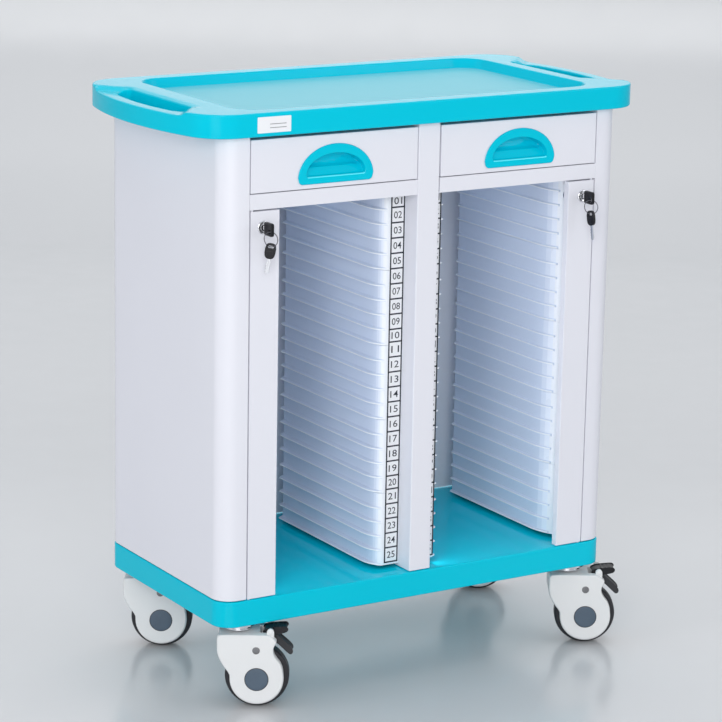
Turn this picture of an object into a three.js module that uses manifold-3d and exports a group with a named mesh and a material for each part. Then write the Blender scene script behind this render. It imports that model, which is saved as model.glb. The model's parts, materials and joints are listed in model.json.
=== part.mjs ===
// Double-column patient-file cart: a steel cabinet with two drawers and two ribbed
// file columns on a moulded base with four swivel casters.
// Millimetres, +Z up, front faces -Y, origin on the floor under the middle of the cart.
import * as THREE from 'three';
import { mergeVertices } from 'three/addons/utils/BufferGeometryUtils.js';
import Module from 'manifold-3d';

const wasm = await Module();
wasm.setup();

// ---------------------------------------------------------------- driving dimensions
const GAP = 0.3;                       // clearance between neighbouring pieces
const SHEET = 1.5;                     // steel sheet thickness

const BASE = { halfW: 361, halfD: 192.5, bottom: 136, top: 177, corner: 32, wall: 4, boss: 30 };
const CABINET = { halfW: 360, halfD: 190, bottom: 178.5, top: 895.5, corner: 30, backInset: 2 };
const TRAY = {
  halfW: 420, shoulder: 384, front: -203, rear: 210, corner: 62, bottom: 896, top: 932, wall: 4,
  edge: 3,
};
const RECESS = { halfW: 320, front: -174, rear: 180, corner: 40, depth: 15.5 };
const GRIP = { inner: 358, outer: 399, halfLength: 98, barDrop: 6, ramp: 22 };

const POST_HALF = 19.8;                // half width of the centre partition
const OPENING_EDGE = 315.7;            // outer edge of the front openings
const RETURN_DEPTH = 40;               // folded return of the side panels
const RAIL = { bottom: 785, top: 808.5, depth: 15, lip: 9, lipFrom: 264, lipTo: 308 };
const DRAWER = {
  bottom: 810, top: 890, reveal: 1.8, frontDepth: 21, boxBottom: 816, boxTop: 876,
};
const DRAWER_BOX = { sideGap: 13.5, front: -168.5, rear: 150, rib: 5.5, ribHeight: 10 };
const RUNNER = { width: 10, low: 838, high: 862, groove: 7, grooveHeight: 14,
  front: -150, rear: 150 };
const PULL = { width: 132, height: 61, rim: 15, sill: 9, bottom: 817, proud: 2, depth: 19 };

// Each ribbed panel is a stack of five modules with five ledges each.
const MODULE = { count: 5, height: 119.9, ledges: 5, pitch: 23.25, firstLedge: 2.8, ledge: 2 };
const PANEL = { bottom: 183.5, front: -157, rear: 147, wall: 2, rearReach: 11 };
const PANEL_TOP = PANEL.bottom + MODULE.count * MODULE.height;
// Distances from the mounting side: the flat flange, the ribbed face and the ledges' tips.
const PANEL_PROFILES = {
  wide: { flat: 31, face: 42, tip: 50, wallReach: 27, ledgeReach: 36 },
  narrow: { flat: 24, face: 26, tip: 31.5, wallReach: 3, ledgeReach: 5 },
  outer: { flat: 32, face: 40, tip: 44.5, wallReach: 9, ledgeReach: 14 },
};
const LABEL = { inset: 1.9, width: 23, bottom: 186.8, top: 782.8, thickness: 0.6 };

const BAR = { width: 49, outer: 313.7, bottom: 178.5, top: 782.5, depth: 12, inset: 3.5 };
const PIN = { radius: 2, clearance: 0.4, length: 5 };
const LOCK = { x: 292.5, z: 758, barrel: 8.5, flange: 10.5, plug: 5.5, rear: -172 };
const CAM = { reach: 24, tail: 7, halfHeight: 6, thickness: 2 };
const KEY = { bowLength: 23, bowHeight: 20, bowThick: 5, bladeHeight: 6.6, bladeThick: 1.8 };
const KEY_HOLE = { radius: 4, fromEnd: 5.5, drop: 3 };
const RING = { radius: 9, wire: 0.7, yaw: THREE.MathUtils.degToRad(35) };
const SPARE = { width: 16, height: 24, thick: 4.6, bladeLength: 23, holeFromTop: 6 };

const CASTER = { x: 312, y: 159, trail: 30, yaw: THREE.MathUtils.degToRad(-31.7) };
const WHEEL = { radius: 50, halfWidth: 14, rim: 38, hubBore: 5.4, segments: 28 };
const FORK = { halfWidth: 31, slot: 17, top: 122, discRadius: 42, bevel: 5, wheelRoom: 54 };
const AXLE = { radius: 5, head: 18, headOuter: 32, headInner: 29.4 };
const PEDAL = { x: 51, z: 117, halfWidth: 13.5 };

// ---------------------------------------------------------------- finishes
const finish = (color, roughness, metalness = 0) =>
  () => new THREE.MeshStandardMaterial({ color, roughness, metalness });
const whiteSteel = finish(0xe3e4ee, 0.4);
const turquoise = finish(0x00c4dc, 0.25);
const clearPlastic = finish(0xc4d3e6, 0.3);
const labelWhite = finish(0xf6f6f8, 0.5);
const zincSteel = finish(0xa9adb3, 0.35, 0.9);
const chrome = finish(0xd6d8dc, 0.12, 1);
const blackPlastic = finish(0x15161a, 0.4);
const whiteAbs = finish(0xe6e7e9, 0.25);
const tyreBlack = finish(0x1d1d22, 0.7);
const capGrey = finish(0x505f6e, 0.4);
const pedalGrey = finish(0x2c2d31, 0.55);

// ---------------------------------------------------------------- solid helpers
/** A closed geometry as a solid. */
function solid(geometry) {
  const bare = geometry.clone();
  bare.deleteAttribute('normal');
  bare.deleteAttribute('uv');
  const merged = mergeVertices(bare, 1e-4);
  return new wasm.Manifold(new wasm.Mesh({
    numProp: 3,
    vertProperties: new Float32Array(merged.attributes.position.array),
    triVerts: new Uint32Array(merged.index.array),
  }));
}

/** A solid back as a geometry. */
function geometryOf(body) {
  const mesh = body.getMesh();
  const geometry = new THREE.BufferGeometry();
  geometry.setAttribute('position', new THREE.BufferAttribute(mesh.vertProperties, 3));
  geometry.setIndex(new THREE.BufferAttribute(mesh.triVerts, 1));
  geometry.computeVertexNormals();
  return geometry;
}

/** Outline [[x, y], ...] extruded along Z from low to high. */
function prism(outline, low, high, options = {}) {
  const shape = new THREE.Shape(outline.map(([x, y]) => new THREE.Vector2(x, y)));
  const geometry = new THREE.ExtrudeGeometry(shape, {
    depth: high - low, bevelEnabled: false, ...options,
  });
  geometry.translate(0, 0, low);
  return geometry;
}

/** Outline [[x, z], ...] extruded along Y from front to rear. */
function prismY(outline, front, rear, options = {}) {
  const geometry = prism(outline, -rear, -front, options);
  geometry.rotateX(Math.PI / 2);
  return geometry;
}

function block(x0, x1, y0, y1, z0, z1) {
  const geometry = new THREE.BoxGeometry(Math.abs(x1 - x0), y1 - y0, z1 - z0);
  geometry.translate((x0 + x1) / 2, (y0 + y1) / 2, (z0 + z1) / 2);
  return geometry;
}

/** Round bar along Z. */
function rodZ(radius, x, y, z0, z1, segments = 16) {
  const geometry = new THREE.CylinderGeometry(radius, radius, z1 - z0, segments);
  geometry.rotateX(Math.PI / 2);
  geometry.translate(x, y, (z0 + z1) / 2);
  return geometry;
}

/** Round bar along Y. */
function rodY(radius, x, z, y0, y1, segments = 20) {
  const geometry = new THREE.CylinderGeometry(radius, radius, y1 - y0, segments);
  geometry.translate(x, (y0 + y1) / 2, z);
  return geometry;
}

/** Closed profile [[radius, y], ...] turned about the Y axis, a flat facet downwards. */
function turned(profile, segments) {
  const points = profile.map(([r, y]) => new THREE.Vector2(r, y));
  const geometry = new THREE.LatheGeometry(points, segments);
  geometry.rotateY(Math.PI / segments);
  return geometry;
}

const arc = (cx, cy, rx, ry, from, to, steps) =>
  Array.from({ length: steps + 1 }, (_, i) => {
    const a = THREE.MathUtils.degToRad(from + ((to - from) * i) / steps);
    return [cx + rx * Math.cos(a), cy + ry * Math.sin(a)];
  });

function roundedRect(halfW, front, rear, radius, steps = 6) {
  return [
    ...arc(halfW - radius, front + radius, radius, radius, -90, 0, steps),
    ...arc(halfW - radius, rear - radius, radius, radius, 0, 90, steps),
    ...arc(-halfW + radius, rear - radius, radius, radius, 90, 180, steps),
    ...arc(-halfW + radius, front + radius, radius, radius, 180, 270, steps),
  ];
}

const flipX = (outline) => outline.map(([x, y]) => [-x, y]).reverse();

// ---------------------------------------------------------------- assembly
const cart = new THREE.Group();

function add(name, geometry, material, parent = cart) {
  const mesh = new THREE.Mesh(geometry, material());
  mesh.name = name;
  parent.add(mesh);
  return mesh;
}

/** Adds a solid. */
const addSolid = (name, body, material, parent) => add(name, geometryOf(body), material, parent);

const SIDES = [['left', -1], ['right', 1]];

// ---------------------------------------------------------------- base
function baseTray() {
  const outer = solid(prism(
    roundedRect(BASE.halfW, -BASE.halfD, BASE.halfD, BASE.corner), BASE.bottom, BASE.top));
  const inner = solid(prism(
    roundedRect(BASE.halfW - BASE.wall, -BASE.halfD + BASE.wall, BASE.halfD - BASE.wall,
      BASE.corner - BASE.wall), BASE.bottom - 1, BASE.top - BASE.wall));
  let tray = outer.subtract(inner);
  for (const sx of [-1, 1]) {
    for (const sy of [-1, 1]) {
      tray = tray.add(solid(
        rodZ(BASE.boss, sx * CASTER.x, sy * CASTER.y, BASE.bottom, BASE.top - 1, 20)));
    }
    const pivotX = sx * (BAR.outer - BAR.inset);
    const pivotY = -CABINET.halfD + BAR.inset;
    tray = tray.subtract(solid(rodZ(
      PIN.radius + PIN.clearance, pivotX, pivotY, BASE.top - BASE.wall - 1, BASE.top + 1, 12)));
  }
  return tray;
}

// ---------------------------------------------------------------- moulded top tray
/** Straight front and rear, bulging sides, round corners. */
function trayOutline(inset, steps = 5) {
  const front = TRAY.front + inset;
  const rear = TRAY.rear - inset;
  const halfW = TRAY.halfW - inset;
  const half = (rear - front) / 2;
  const middle = (rear + front) / 2;
  const bulge = TRAY.halfW - TRAY.shoulder;
  const sideRadius = (half * half + bulge * bulge) / (2 * bulge);
  const centreX = halfW - sideRadius;
  const corner = TRAY.corner - inset;
  const cornerX = centreX
    + Math.sqrt((sideRadius - corner) ** 2 - (half - corner) ** 2);
  const turn = THREE.MathUtils.radToDeg(Math.atan2(half - corner, cornerX - centreX));
  const right = [
    ...arc(cornerX, front + corner, corner, corner, -90, -turn, steps),
    ...arc(centreX, middle, sideRadius, sideRadius, -turn, turn, 8).slice(1, -1),
    ...arc(cornerX, rear - corner, corner, corner, turn, 90, steps),
  ];
  return [...right, ...flipX(right)];
}

function topTray() {
  const { edge } = TRAY;
  let tray = solid(prism(trayOutline(edge), TRAY.bottom, TRAY.top - edge, {
    bevelEnabled: true, bevelThickness: edge, bevelSize: edge, bevelSegments: 2,
  }));
  // The bevel rounds both faces, so the lower one is trimmed square at the cabinet.
  tray = tray.subtract(solid(block(-500, 500, -300, 300, TRAY.bottom - 20, TRAY.bottom)));
  const floor = TRAY.top - RECESS.depth;
  tray = tray.subtract(solid(prism(
    roundedRect(RECESS.halfW, RECESS.front, RECESS.rear, RECESS.corner), floor, TRAY.top + 5)));
  tray = tray.subtract(solid(prism(
    roundedRect(RECESS.halfW - 2, RECESS.front + 2, RECESS.rear - 2, RECESS.corner - 2),
    TRAY.bottom - 1, floor - TRAY.wall)));
  const bar = TRAY.top - GRIP.barDrop;
  const half = GRIP.halfLength;
  const middle = (TRAY.front + TRAY.rear) / 2;
  for (const side of [-1, 1]) {
    const hole = roundedRect(
      (GRIP.outer - GRIP.inner) / 2, middle - half, middle + half, 14, 3)
      .map(([x, y]) => [x + side * (GRIP.outer + GRIP.inner) / 2, y]);
    tray = tray.subtract(solid(prism(hole, TRAY.bottom - 1, TRAY.top + 1)));
    // The bar drops below the rim, with a ramp at each end.
    const dip = new THREE.Shape([
      new THREE.Vector2(middle - half - GRIP.ramp * 2, TRAY.top + 6),
      new THREE.Vector2(middle - half - GRIP.ramp, bar),
      new THREE.Vector2(middle + half + GRIP.ramp, bar),
      new THREE.Vector2(middle + half + GRIP.ramp * 2, TRAY.top + 6),
    ]);
    const cutter = new THREE.ExtrudeGeometry(dip, { depth: 90, bevelEnabled: false });
    cutter.rotateX(Math.PI / 2);
    cutter.rotateZ(Math.PI / 2);
    cutter.translate(side > 0 ? GRIP.inner + 8 : -GRIP.inner - 98, 0, 0);
    tray = tray.subtract(solid(cutter));
  }
  return tray;
}

// ---------------------------------------------------------------- cabinet
/** One bent sheet: side wall, both rounded corners, front and rear faces, returns. */
function sidePanel(side) {
  const { halfW, halfD, corner } = CABINET;
  const inner = corner - SHEET;
  const edge = OPENING_EDGE;
  const outline = [
    [edge, -halfD],
    ...arc(halfW - corner, -halfD + corner, corner, corner, -90, 0, 8),
    ...arc(halfW - corner, halfD - corner, corner, corner, 0, 90, 8),
    [edge, halfD], [edge, halfD - RETURN_DEPTH],
    [edge + SHEET, halfD - RETURN_DEPTH], [edge + SHEET, halfD - SHEET],
    ...arc(halfW - corner, halfD - corner, inner, inner, 90, 0, 8),
    ...arc(halfW - corner, -halfD + corner, inner, inner, 0, -90, 8),
    [edge + SHEET, -halfD + SHEET], [edge + SHEET, -halfD + RETURN_DEPTH],
    [edge, -halfD + RETURN_DEPTH],
  ];
  return prism(side > 0 ? outline : flipX(outline), CABINET.bottom, CABINET.top);
}

function backPanel() {
  const rear = CABINET.halfD - CABINET.backInset;
  return block(-OPENING_EDGE + GAP, OPENING_EDGE - GAP, rear - SHEET, rear,
    CABINET.bottom, CABINET.top);
}

/** Hollow partition between the columns; its front face is the centre post. */
function centrePartition() {
  const front = -CABINET.halfD;
  const rear = CABINET.halfD - CABINET.backInset - SHEET - GAP;
  const outer = solid(prism(
    roundedRect(POST_HALF, front, rear, 2.5, 2), CABINET.bottom, CABINET.top));
  const hollow = solid(block(-POST_HALF + SHEET, POST_HALF - SHEET,
    front + SHEET, rear - SHEET, CABINET.bottom - 1, CABINET.top + 1));
  return outer.subtract(hollow);
}

/** Front rail under a drawer, with the lip that the lock's cam turns up behind. */
function crossRail(side) {
  const x0 = side * (POST_HALF + GAP);
  const x1 = side * (OPENING_EDGE - GAP);
  const front = -CABINET.halfD;
  const parts = [
    block(x0, x1, front, front + SHEET, RAIL.bottom, RAIL.top),
    block(x0, x1, front, front + RAIL.depth, RAIL.bottom, RAIL.bottom + SHEET),
    block(x0, x1, front, front + RAIL.depth, RAIL.top - SHEET, RAIL.top),
    block(side * RAIL.lipFrom, side * RAIL.lipTo, front + RAIL.depth - SHEET, front + RAIL.depth,
      RAIL.bottom - RAIL.lip, RAIL.bottom + SHEET),
  ];
  const rail = wasm.Manifold.union(parts.map(solid));
  return rail.subtract(solid(rodZ(PIN.radius + PIN.clearance,
    side * (BAR.outer - BAR.inset), front + BAR.inset, RAIL.bottom - 1, RAIL.bottom + 3, 12)));
}

/** L-shaped shelf that closes a column's top and carries the outer runner. */
function drawerShelf(side) {
  const wall = OPENING_EDGE + GAP;
  const outline = [
    [POST_HALF + GAP, RAIL.bottom + 2], [wall + SHEET, RAIL.bottom + 2],
    [wall + SHEET, DRAWER.top], [wall, DRAWER.top],
    [wall, RAIL.bottom + 2 + SHEET], [POST_HALF + GAP, RAIL.bottom + 2 + SHEET],
  ];
  const reach = CABINET.halfD - RETURN_DEPTH - GAP;
  return prismY(side > 0 ? outline : flipX(outline), -reach, reach);
}

// ---------------------------------------------------------------- drawers
const DRAWER_X = (POST_HALF + OPENING_EDGE) / 2;

/** Half-moon outline, flat side down, around the drawer's middle. */
function halfMoon(inset, sill, centreX) {
  const halfW = PULL.width / 2 - inset;
  const base = PULL.bottom + sill;
  const height = PULL.height - inset - sill;
  const round = 5;
  return [
    [centreX - halfW + round, base], [centreX + halfW - round, base],
    ...arc(centreX, base + round, halfW, height - round, 0, 180, 14),
  ];
}

function drawerFront(side) {
  const halfW = (OPENING_EDGE - POST_HALF) / 2 - DRAWER.reveal;
  const x0 = side * DRAWER_X - halfW;
  const x1 = side * DRAWER_X + halfW;
  const front = -CABINET.halfD;
  const pan = solid(block(x0, x1, front, front + DRAWER.frontDepth, DRAWER.bottom, DRAWER.top));
  const hollow = solid(block(x0 + SHEET, x1 - SHEET, front + SHEET, front + 40,
    DRAWER.bottom + SHEET, DRAWER.top - SHEET));
  const hole = solid(prismY(halfMoon(PULL.rim - 2.2, PULL.sill - 2.2, side * DRAWER_X),
    front - 5, front + 5));
  return pan.subtract(hollow).subtract(hole);
}

/** Open steel box with a sliding rib on each side. */
function drawerBox(side) {
  const halfW = (OPENING_EDGE - POST_HALF) / 2 - DRAWER_BOX.sideGap;
  const x0 = side * DRAWER_X - halfW;
  const x1 = side * DRAWER_X + halfW;
  const { front, rear } = DRAWER_BOX;
  const ribLow = (RUNNER.low + RUNNER.high - DRAWER_BOX.ribHeight) / 2;
  const ribTop = ribLow + DRAWER_BOX.ribHeight;
  const outer = solid(block(x0, x1, front, rear, DRAWER.boxBottom, DRAWER.boxTop));
  const inner = solid(block(x0 + SHEET, x1 - SHEET, front + SHEET, rear - SHEET,
    DRAWER.boxBottom + SHEET, DRAWER.boxTop + 1));
  const ribs = [
    block(x0 - DRAWER_BOX.rib, x0 + 1, front + 4, rear - 4, ribLow, ribTop),
    block(x1 - 1, x1 + DRAWER_BOX.rib, front + 4, rear - 4, ribLow, ribTop),
  ];
  return wasm.Manifold.union([outer.subtract(inner), ...ribs.map(solid)]);
}

/** Moulded half-moon pull: a proud rim and a cup for the fingers. */
function drawerPull(side) {
  const x = side * DRAWER_X;
  const front = -CABINET.halfD;
  const rim = solid(prismY(halfMoon(0, 0, x), front - PULL.proud - GAP, front - GAP));
  const cup = solid(prismY(halfMoon(PULL.rim - 1.5, PULL.sill - 1.5, x),
    front - GAP - 1, front + PULL.depth));
  const hollow = solid(prismY(halfMoon(PULL.rim, PULL.sill, x),
    front - 10, front + PULL.depth - SHEET));
  return rim.add(cup).subtract(hollow);
}

/** Fixed drawer runner: a channel open towards the drawer box. */
function runner(wallX, inward) {
  const middle = (RUNNER.low + RUNNER.high) / 2;
  const body = solid(block(wallX + inward * GAP, wallX + inward * (GAP + RUNNER.width),
    RUNNER.front, RUNNER.rear, RUNNER.low, RUNNER.high));
  const groove = solid(block(wallX + inward * (GAP + RUNNER.width - RUNNER.groove),
    wallX + inward * 30, RUNNER.front - 1, RUNNER.rear + 1,
    middle - RUNNER.grooveHeight / 2, middle + RUNNER.grooveHeight / 2));
  return body.subtract(groove);
}

// ---------------------------------------------------------------- file columns
/** Ribbed panel: a flanged wall and one ledge under each slot. edge = mounting side. */
function slotPanel(edge, inward, profile) {
  const place = (outline) => {
    const moved = outline.map(([u, y]) => [edge + inward * u, y]);
    return inward > 0 ? moved : moved.reverse();
  };
  const { front, rear, wall, rearReach } = PANEL;
  const { flat, face, tip, wallReach, ledgeReach } = profile;
  const sweep = (reachU, reachFront, steps, inset = 0) => [
    ...arc(flat, front + reachFront, reachU - inset, reachFront - inset, -90, 0, steps),
    ...arc(flat, rear - rearReach, reachU - inset, rearReach - inset, 0, 90, steps),
  ];
  const bend = face - flat;
  const wallOutline = [
    [0, front], ...sweep(bend, wallReach, 2), [0, rear], [0, rear - wall],
    ...sweep(bend, wallReach, 2, Math.min(wall, bend - 0.5)).reverse(), [0, front + wall],
  ];
  const ledgeOutline = [
    ...sweep(tip - flat, ledgeReach, 2),
    ...sweep(bend, wallReach, 2, 1).reverse(),
  ];
  const parts = [solid(prism(place(wallOutline), PANEL.bottom, PANEL_TOP))];
  for (let m = 0; m < MODULE.count; m += 1) {
    for (let k = 0; k < MODULE.ledges; k += 1) {
      const top = PANEL.bottom + m * MODULE.height + MODULE.firstLedge + k * MODULE.pitch;
      parts.push(solid(prism(place(ledgeOutline), top - MODULE.ledge, top)));
    }
  }
  return wasm.Manifold.union(parts);
}

function labelStrip(edge, inward) {
  const x0 = edge + inward * LABEL.inset;
  const x1 = x0 + inward * LABEL.width;
  const rear = PANEL.front - GAP;
  return block(x0, x1, rear - LABEL.thickness, rear, LABEL.bottom, LABEL.top);
}

// ---------------------------------------------------------------- locking bars
const BAR_PIVOT = { x: BAR.outer - BAR.inset, y: -CABINET.halfD + BAR.inset };

/** Folded channel with end caps and a pivot pin at each end of its outer edge. */
function lockingBar(side) {
  const x0 = side * BAR.outer;
  const x1 = side * (BAR.outer - BAR.width);
  const front = -CABINET.halfD;
  const outer = solid(block(x0, x1, front, front + BAR.depth, BAR.bottom, BAR.top));
  const inner = solid(block(x0 - side * SHEET, x1 + side * SHEET, front + SHEET, front + 30,
    BAR.bottom + SHEET, BAR.top - SHEET));
  const pins = [
    rodZ(PIN.radius, side * BAR_PIVOT.x, BAR_PIVOT.y, BAR.top - 1, BAR.top + PIN.length, 12),
    rodZ(PIN.radius, side * BAR_PIVOT.x, BAR_PIVOT.y,
      BAR.bottom - PIN.length, BAR.bottom + 1, 12),
  ];
  const lockHole = solid(rodY(LOCK.barrel + GAP, side * LOCK.x, LOCK.z, front - 5, front + 5));
  return wasm.Manifold.union([outer.subtract(inner), ...pins.map(solid)]).subtract(lockHole);
}

function lockBarrel(side) {
  const front = -CABINET.halfD;
  const x = side * LOCK.x;
  const flange = solid(rodY(LOCK.flange, x, LOCK.z, front - 2.8, front - GAP));
  const body = solid(rodY(LOCK.barrel, x, LOCK.z, front - 1, LOCK.rear));
  const bore = solid(rodY(LOCK.plug + GAP, x, LOCK.z, front - 10, LOCK.rear + 5));
  return flange.add(body).subtract(bore);
}

/** Turning plug with its keyway and the cam on its rear end. */
function lockPlug(side) {
  const front = -CABINET.halfD;
  const x = side * LOCK.x;
  const inward = -side;
  const plug = solid(rodY(LOCK.plug, x, LOCK.z, front - 3.3, LOCK.rear + CAM.thickness + 0.5));
  const arm = solid(block(x - inward * CAM.tail, x + inward * CAM.reach,
    LOCK.rear + 0.5, LOCK.rear + CAM.thickness + 0.5,
    LOCK.z - CAM.halfHeight, LOCK.z + CAM.halfHeight));
  const keyway = solid(block(x - KEY.bladeThick / 2 - GAP, x + KEY.bladeThick / 2 + GAP,
    front - 8, front + 13, LOCK.z - KEY.bladeHeight / 2 - GAP, LOCK.z + KEY.bladeHeight / 2 + GAP));
  return plug.add(arm).subtract(keyway);
}

const BOW_FRONT = -219.5;              // front end of the key in the lock
const RING_TOP = { y: BOW_FRONT + KEY_HOLE.fromEnd, z: LOCK.z - KEY_HOLE.drop };

/** Key in the lock: its bow stands upright in front of the bar. */
function lockKey(side) {
  const x = side * LOCK.x;
  const rear = BOW_FRONT + KEY.bowLength;
  const half = KEY.bowHeight / 2;
  const outline = [
    [BOW_FRONT + 2.5, -half], [rear - 2.5, -half], [rear, -half + 2.5], [rear, half - 2.5],
    [rear - 2.5, half], [BOW_FRONT + 2.5, half], [BOW_FRONT, half - 2.5], [BOW_FRONT, -half + 2.5],
  ];
  const bow = prism(outline, -KEY.bowThick / 2, KEY.bowThick / 2);
  bow.rotateX(Math.PI / 2);
  bow.rotateZ(Math.PI / 2);
  bow.translate(x, 0, LOCK.z);
  const blade = block(x - KEY.bladeThick / 2, x + KEY.bladeThick / 2, rear - 1,
    -CABINET.halfD + 12, LOCK.z - KEY.bladeHeight / 2, LOCK.z + KEY.bladeHeight / 2);
  const hole = new THREE.CylinderGeometry(KEY_HOLE.radius, KEY_HOLE.radius, 12, 16);
  hole.rotateZ(Math.PI / 2);
  hole.translate(x, RING_TOP.y, RING_TOP.z);
  return solid(bow).add(solid(blade)).subtract(solid(hole));
}

/** Group at the top of the key ring; its X axis is the wire's direction there. */
function ringFrame(side) {
  const frame = new THREE.Group();
  frame.position.set(side * LOCK.x, RING_TOP.y, RING_TOP.z);
  frame.rotation.z = RING.yaw;
  cart.add(frame);
  return frame;
}

function keyRing() {
  const ring = new THREE.TorusGeometry(RING.radius, RING.wire, 5, 16);
  ring.rotateX(Math.PI / 2);
  ring.translate(0, 0, -RING.radius);
  return ring;
}

/** Spare key hanging on the ring, blade down. */
function spareKey() {
  const top = -2 * RING.radius + SPARE.holeFromTop;
  const bottom = top - SPARE.height;
  const half = SPARE.width / 2;
  const outline = [
    [-half + 3, bottom], [half - 3, bottom], [half, bottom + 4], [half, top - 5],
    [half - 4, top], [-half + 4, top], [-half, top - 5], [-half, bottom + 4],
  ];
  const bow = prism(outline, -SPARE.thick / 2, SPARE.thick / 2);
  bow.rotateX(Math.PI / 2);
  bow.rotateZ(Math.PI / 2);
  const blade = block(-KEY.bladeThick / 2, KEY.bladeThick / 2,
    -KEY.bladeHeight / 2, KEY.bladeHeight / 2, bottom - SPARE.bladeLength, bottom + 1);
  const hole = new THREE.CylinderGeometry(KEY_HOLE.radius, KEY_HOLE.radius, 12, 16);
  hole.rotateZ(Math.PI / 2);
  hole.translate(0, 0, -2 * RING.radius);
  return solid(bow).add(solid(blade)).subtract(solid(hole));
}

// ---------------------------------------------------------------- casters
/** Chrome ball race and top plate, turned about the swivel axis. */
function casterMount() {
  const low = FORK.top + GAP;
  const high = BASE.bottom - GAP;
  const profile = [[0, low], [14, low], [22, low + 2.5], [22, high - 4], [28, high - 4],
    [28, high], [0, high]];
  const mount = new THREE.LatheGeometry(profile.map(([r, z]) => new THREE.Vector2(r, z)), 18);
  mount.rotateX(Math.PI / 2);
  return mount;
}

/** Shroud fork: a round disc over each side of the wheel and a block above it. */
function casterFork() {
  const { discRadius: r, top, bevel } = FORK;
  const centreX = CASTER.trail;
  const centreZ = WHEEL.radius;
  const outline = [
    ...arc(centreX, centreZ, r, r, 172, 370, 12),
    [centreX + 37.8, 73.5], [centreX + 30, 83], [centreX + 25.5, 96], [centreX + 30.5, 110.8],
    [centreX + 27, 114], [centreX + 26.2, 118], [centreX + 20, top],
    [centreX - 62, top], [centreX - 62, 90], [centreX - 51, 68],
  ].map(([x, z]) => [x + (x > centreX ? -1 : 1) * 0.5, z]);
  const body = solid(prismY(outline, -FORK.halfWidth, FORK.halfWidth));
  const shave = (sign) => {
    // The flanks are domed: a wedge comes off each lower outside edge.
    const ring = new THREE.LatheGeometry([
      [r - bevel, FORK.halfWidth + 1], [r + 0.6, FORK.halfWidth - bevel * 2.4],
      [r + 30, FORK.halfWidth - bevel * 2.4], [r + 30, FORK.halfWidth + 1],
      [r - bevel, FORK.halfWidth + 1],
    ].map(([a, b]) => new THREE.Vector2(a, b)), 20);
    if (sign < 0) ring.rotateX(Math.PI);
    ring.translate(centreX, 0, centreZ);
    const keepBelow = solid(block(-100, 200, -60, 60, -20, 70));
    return solid(ring).intersect(keepBelow);
  };
  const slot = solid(rodY(FORK.wheelRoom, centreX, centreZ, -FORK.slot, FORK.slot, 24))
    .add(solid(block(centreX - 90, centreX + 90, -FORK.slot, FORK.slot, -20, centreZ)));
  const bore = solid(rodY(AXLE.radius + GAP, centreX, centreZ, -40, 40, 10));
  const seats = [-1, 1].map((sign) => solid(rodY(AXLE.head + GAP, centreX, centreZ,
    sign < 0 ? -FORK.halfWidth - 2 : AXLE.headInner - GAP,
    sign < 0 ? -AXLE.headInner + GAP : FORK.halfWidth + 2, 20)));
  const pedalRoom = solid(block(centreX + 8, centreX + 60, -PEDAL.halfWidth - 2,
    PEDAL.halfWidth + 2, 84, top + 1));
  return body.subtract(shave(1)).subtract(shave(-1)).subtract(slot).subtract(bore)
    .subtract(seats[0]).subtract(seats[1]).subtract(pedalRoom);
}

/** Axle with a round cap on each end. */
function casterAxle() {
  const { radius, head, headInner, headOuter } = AXLE;
  const profile = [[0, -headOuter], [head - 1, -headOuter], [head, -headOuter + 1],
    [head, -headInner], [radius, -headInner], [radius, headInner], [head, headInner],
    [head, headOuter - 1], [head - 1, headOuter], [0, headOuter]];
  return new THREE.LatheGeometry(profile.map(([r, y]) => new THREE.Vector2(r, y)), 16);
}

function casterTyre() {
  const { halfWidth: w, rim, segments } = WHEEL;
  const r = WHEEL.radius / Math.cos(Math.PI / segments);
  return turned([[rim, -w + 2], [r - 5, -w], [r, -w + 6], [r, w - 6], [r - 5, w],
    [rim, w - 2], [rim, -w + 2]], segments);
}

function casterHub() {
  const { halfWidth: w, rim, hubBore: b } = WHEEL;
  return turned([[b, -w], [13, -w], [16, -w + 6], [rim - 0.6, -w + 3], [rim - 0.6, w - 3],
    [16, w - 6], [13, w], [b, w], [b, -w]], 16);
}

/** Two-lobed rocker pedal with its pivot bar. */
function brakePedal() {
  const w = PEDAL.halfWidth;
  const upper = prismY([[-10, 3], [-8, 8], [22, 12.5], [25, 9], [23, 5], [0, 1]], -w, w);
  const lower = prismY([[-3, 2], [4, 3], [30, -22], [33, -29], [28, -31], [0, -7]], -w + 3, w - 3);
  const bar = rodY(4, 0, 0, -w, w, 12);
  const pedal = wasm.Manifold.union([upper, lower, bar].map(solid));
  return geometryOf(pedal).translate(PEDAL.x, 0, PEDAL.z);
}

// ---------------------------------------------------------------- put together
addSolid('base_tray', baseTray(), turquoise);
addSolid('top_tray', topTray(), turquoise);
add('back_panel', backPanel(), whiteSteel);
addSolid('centre_partition', centrePartition(), whiteSteel);

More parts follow.
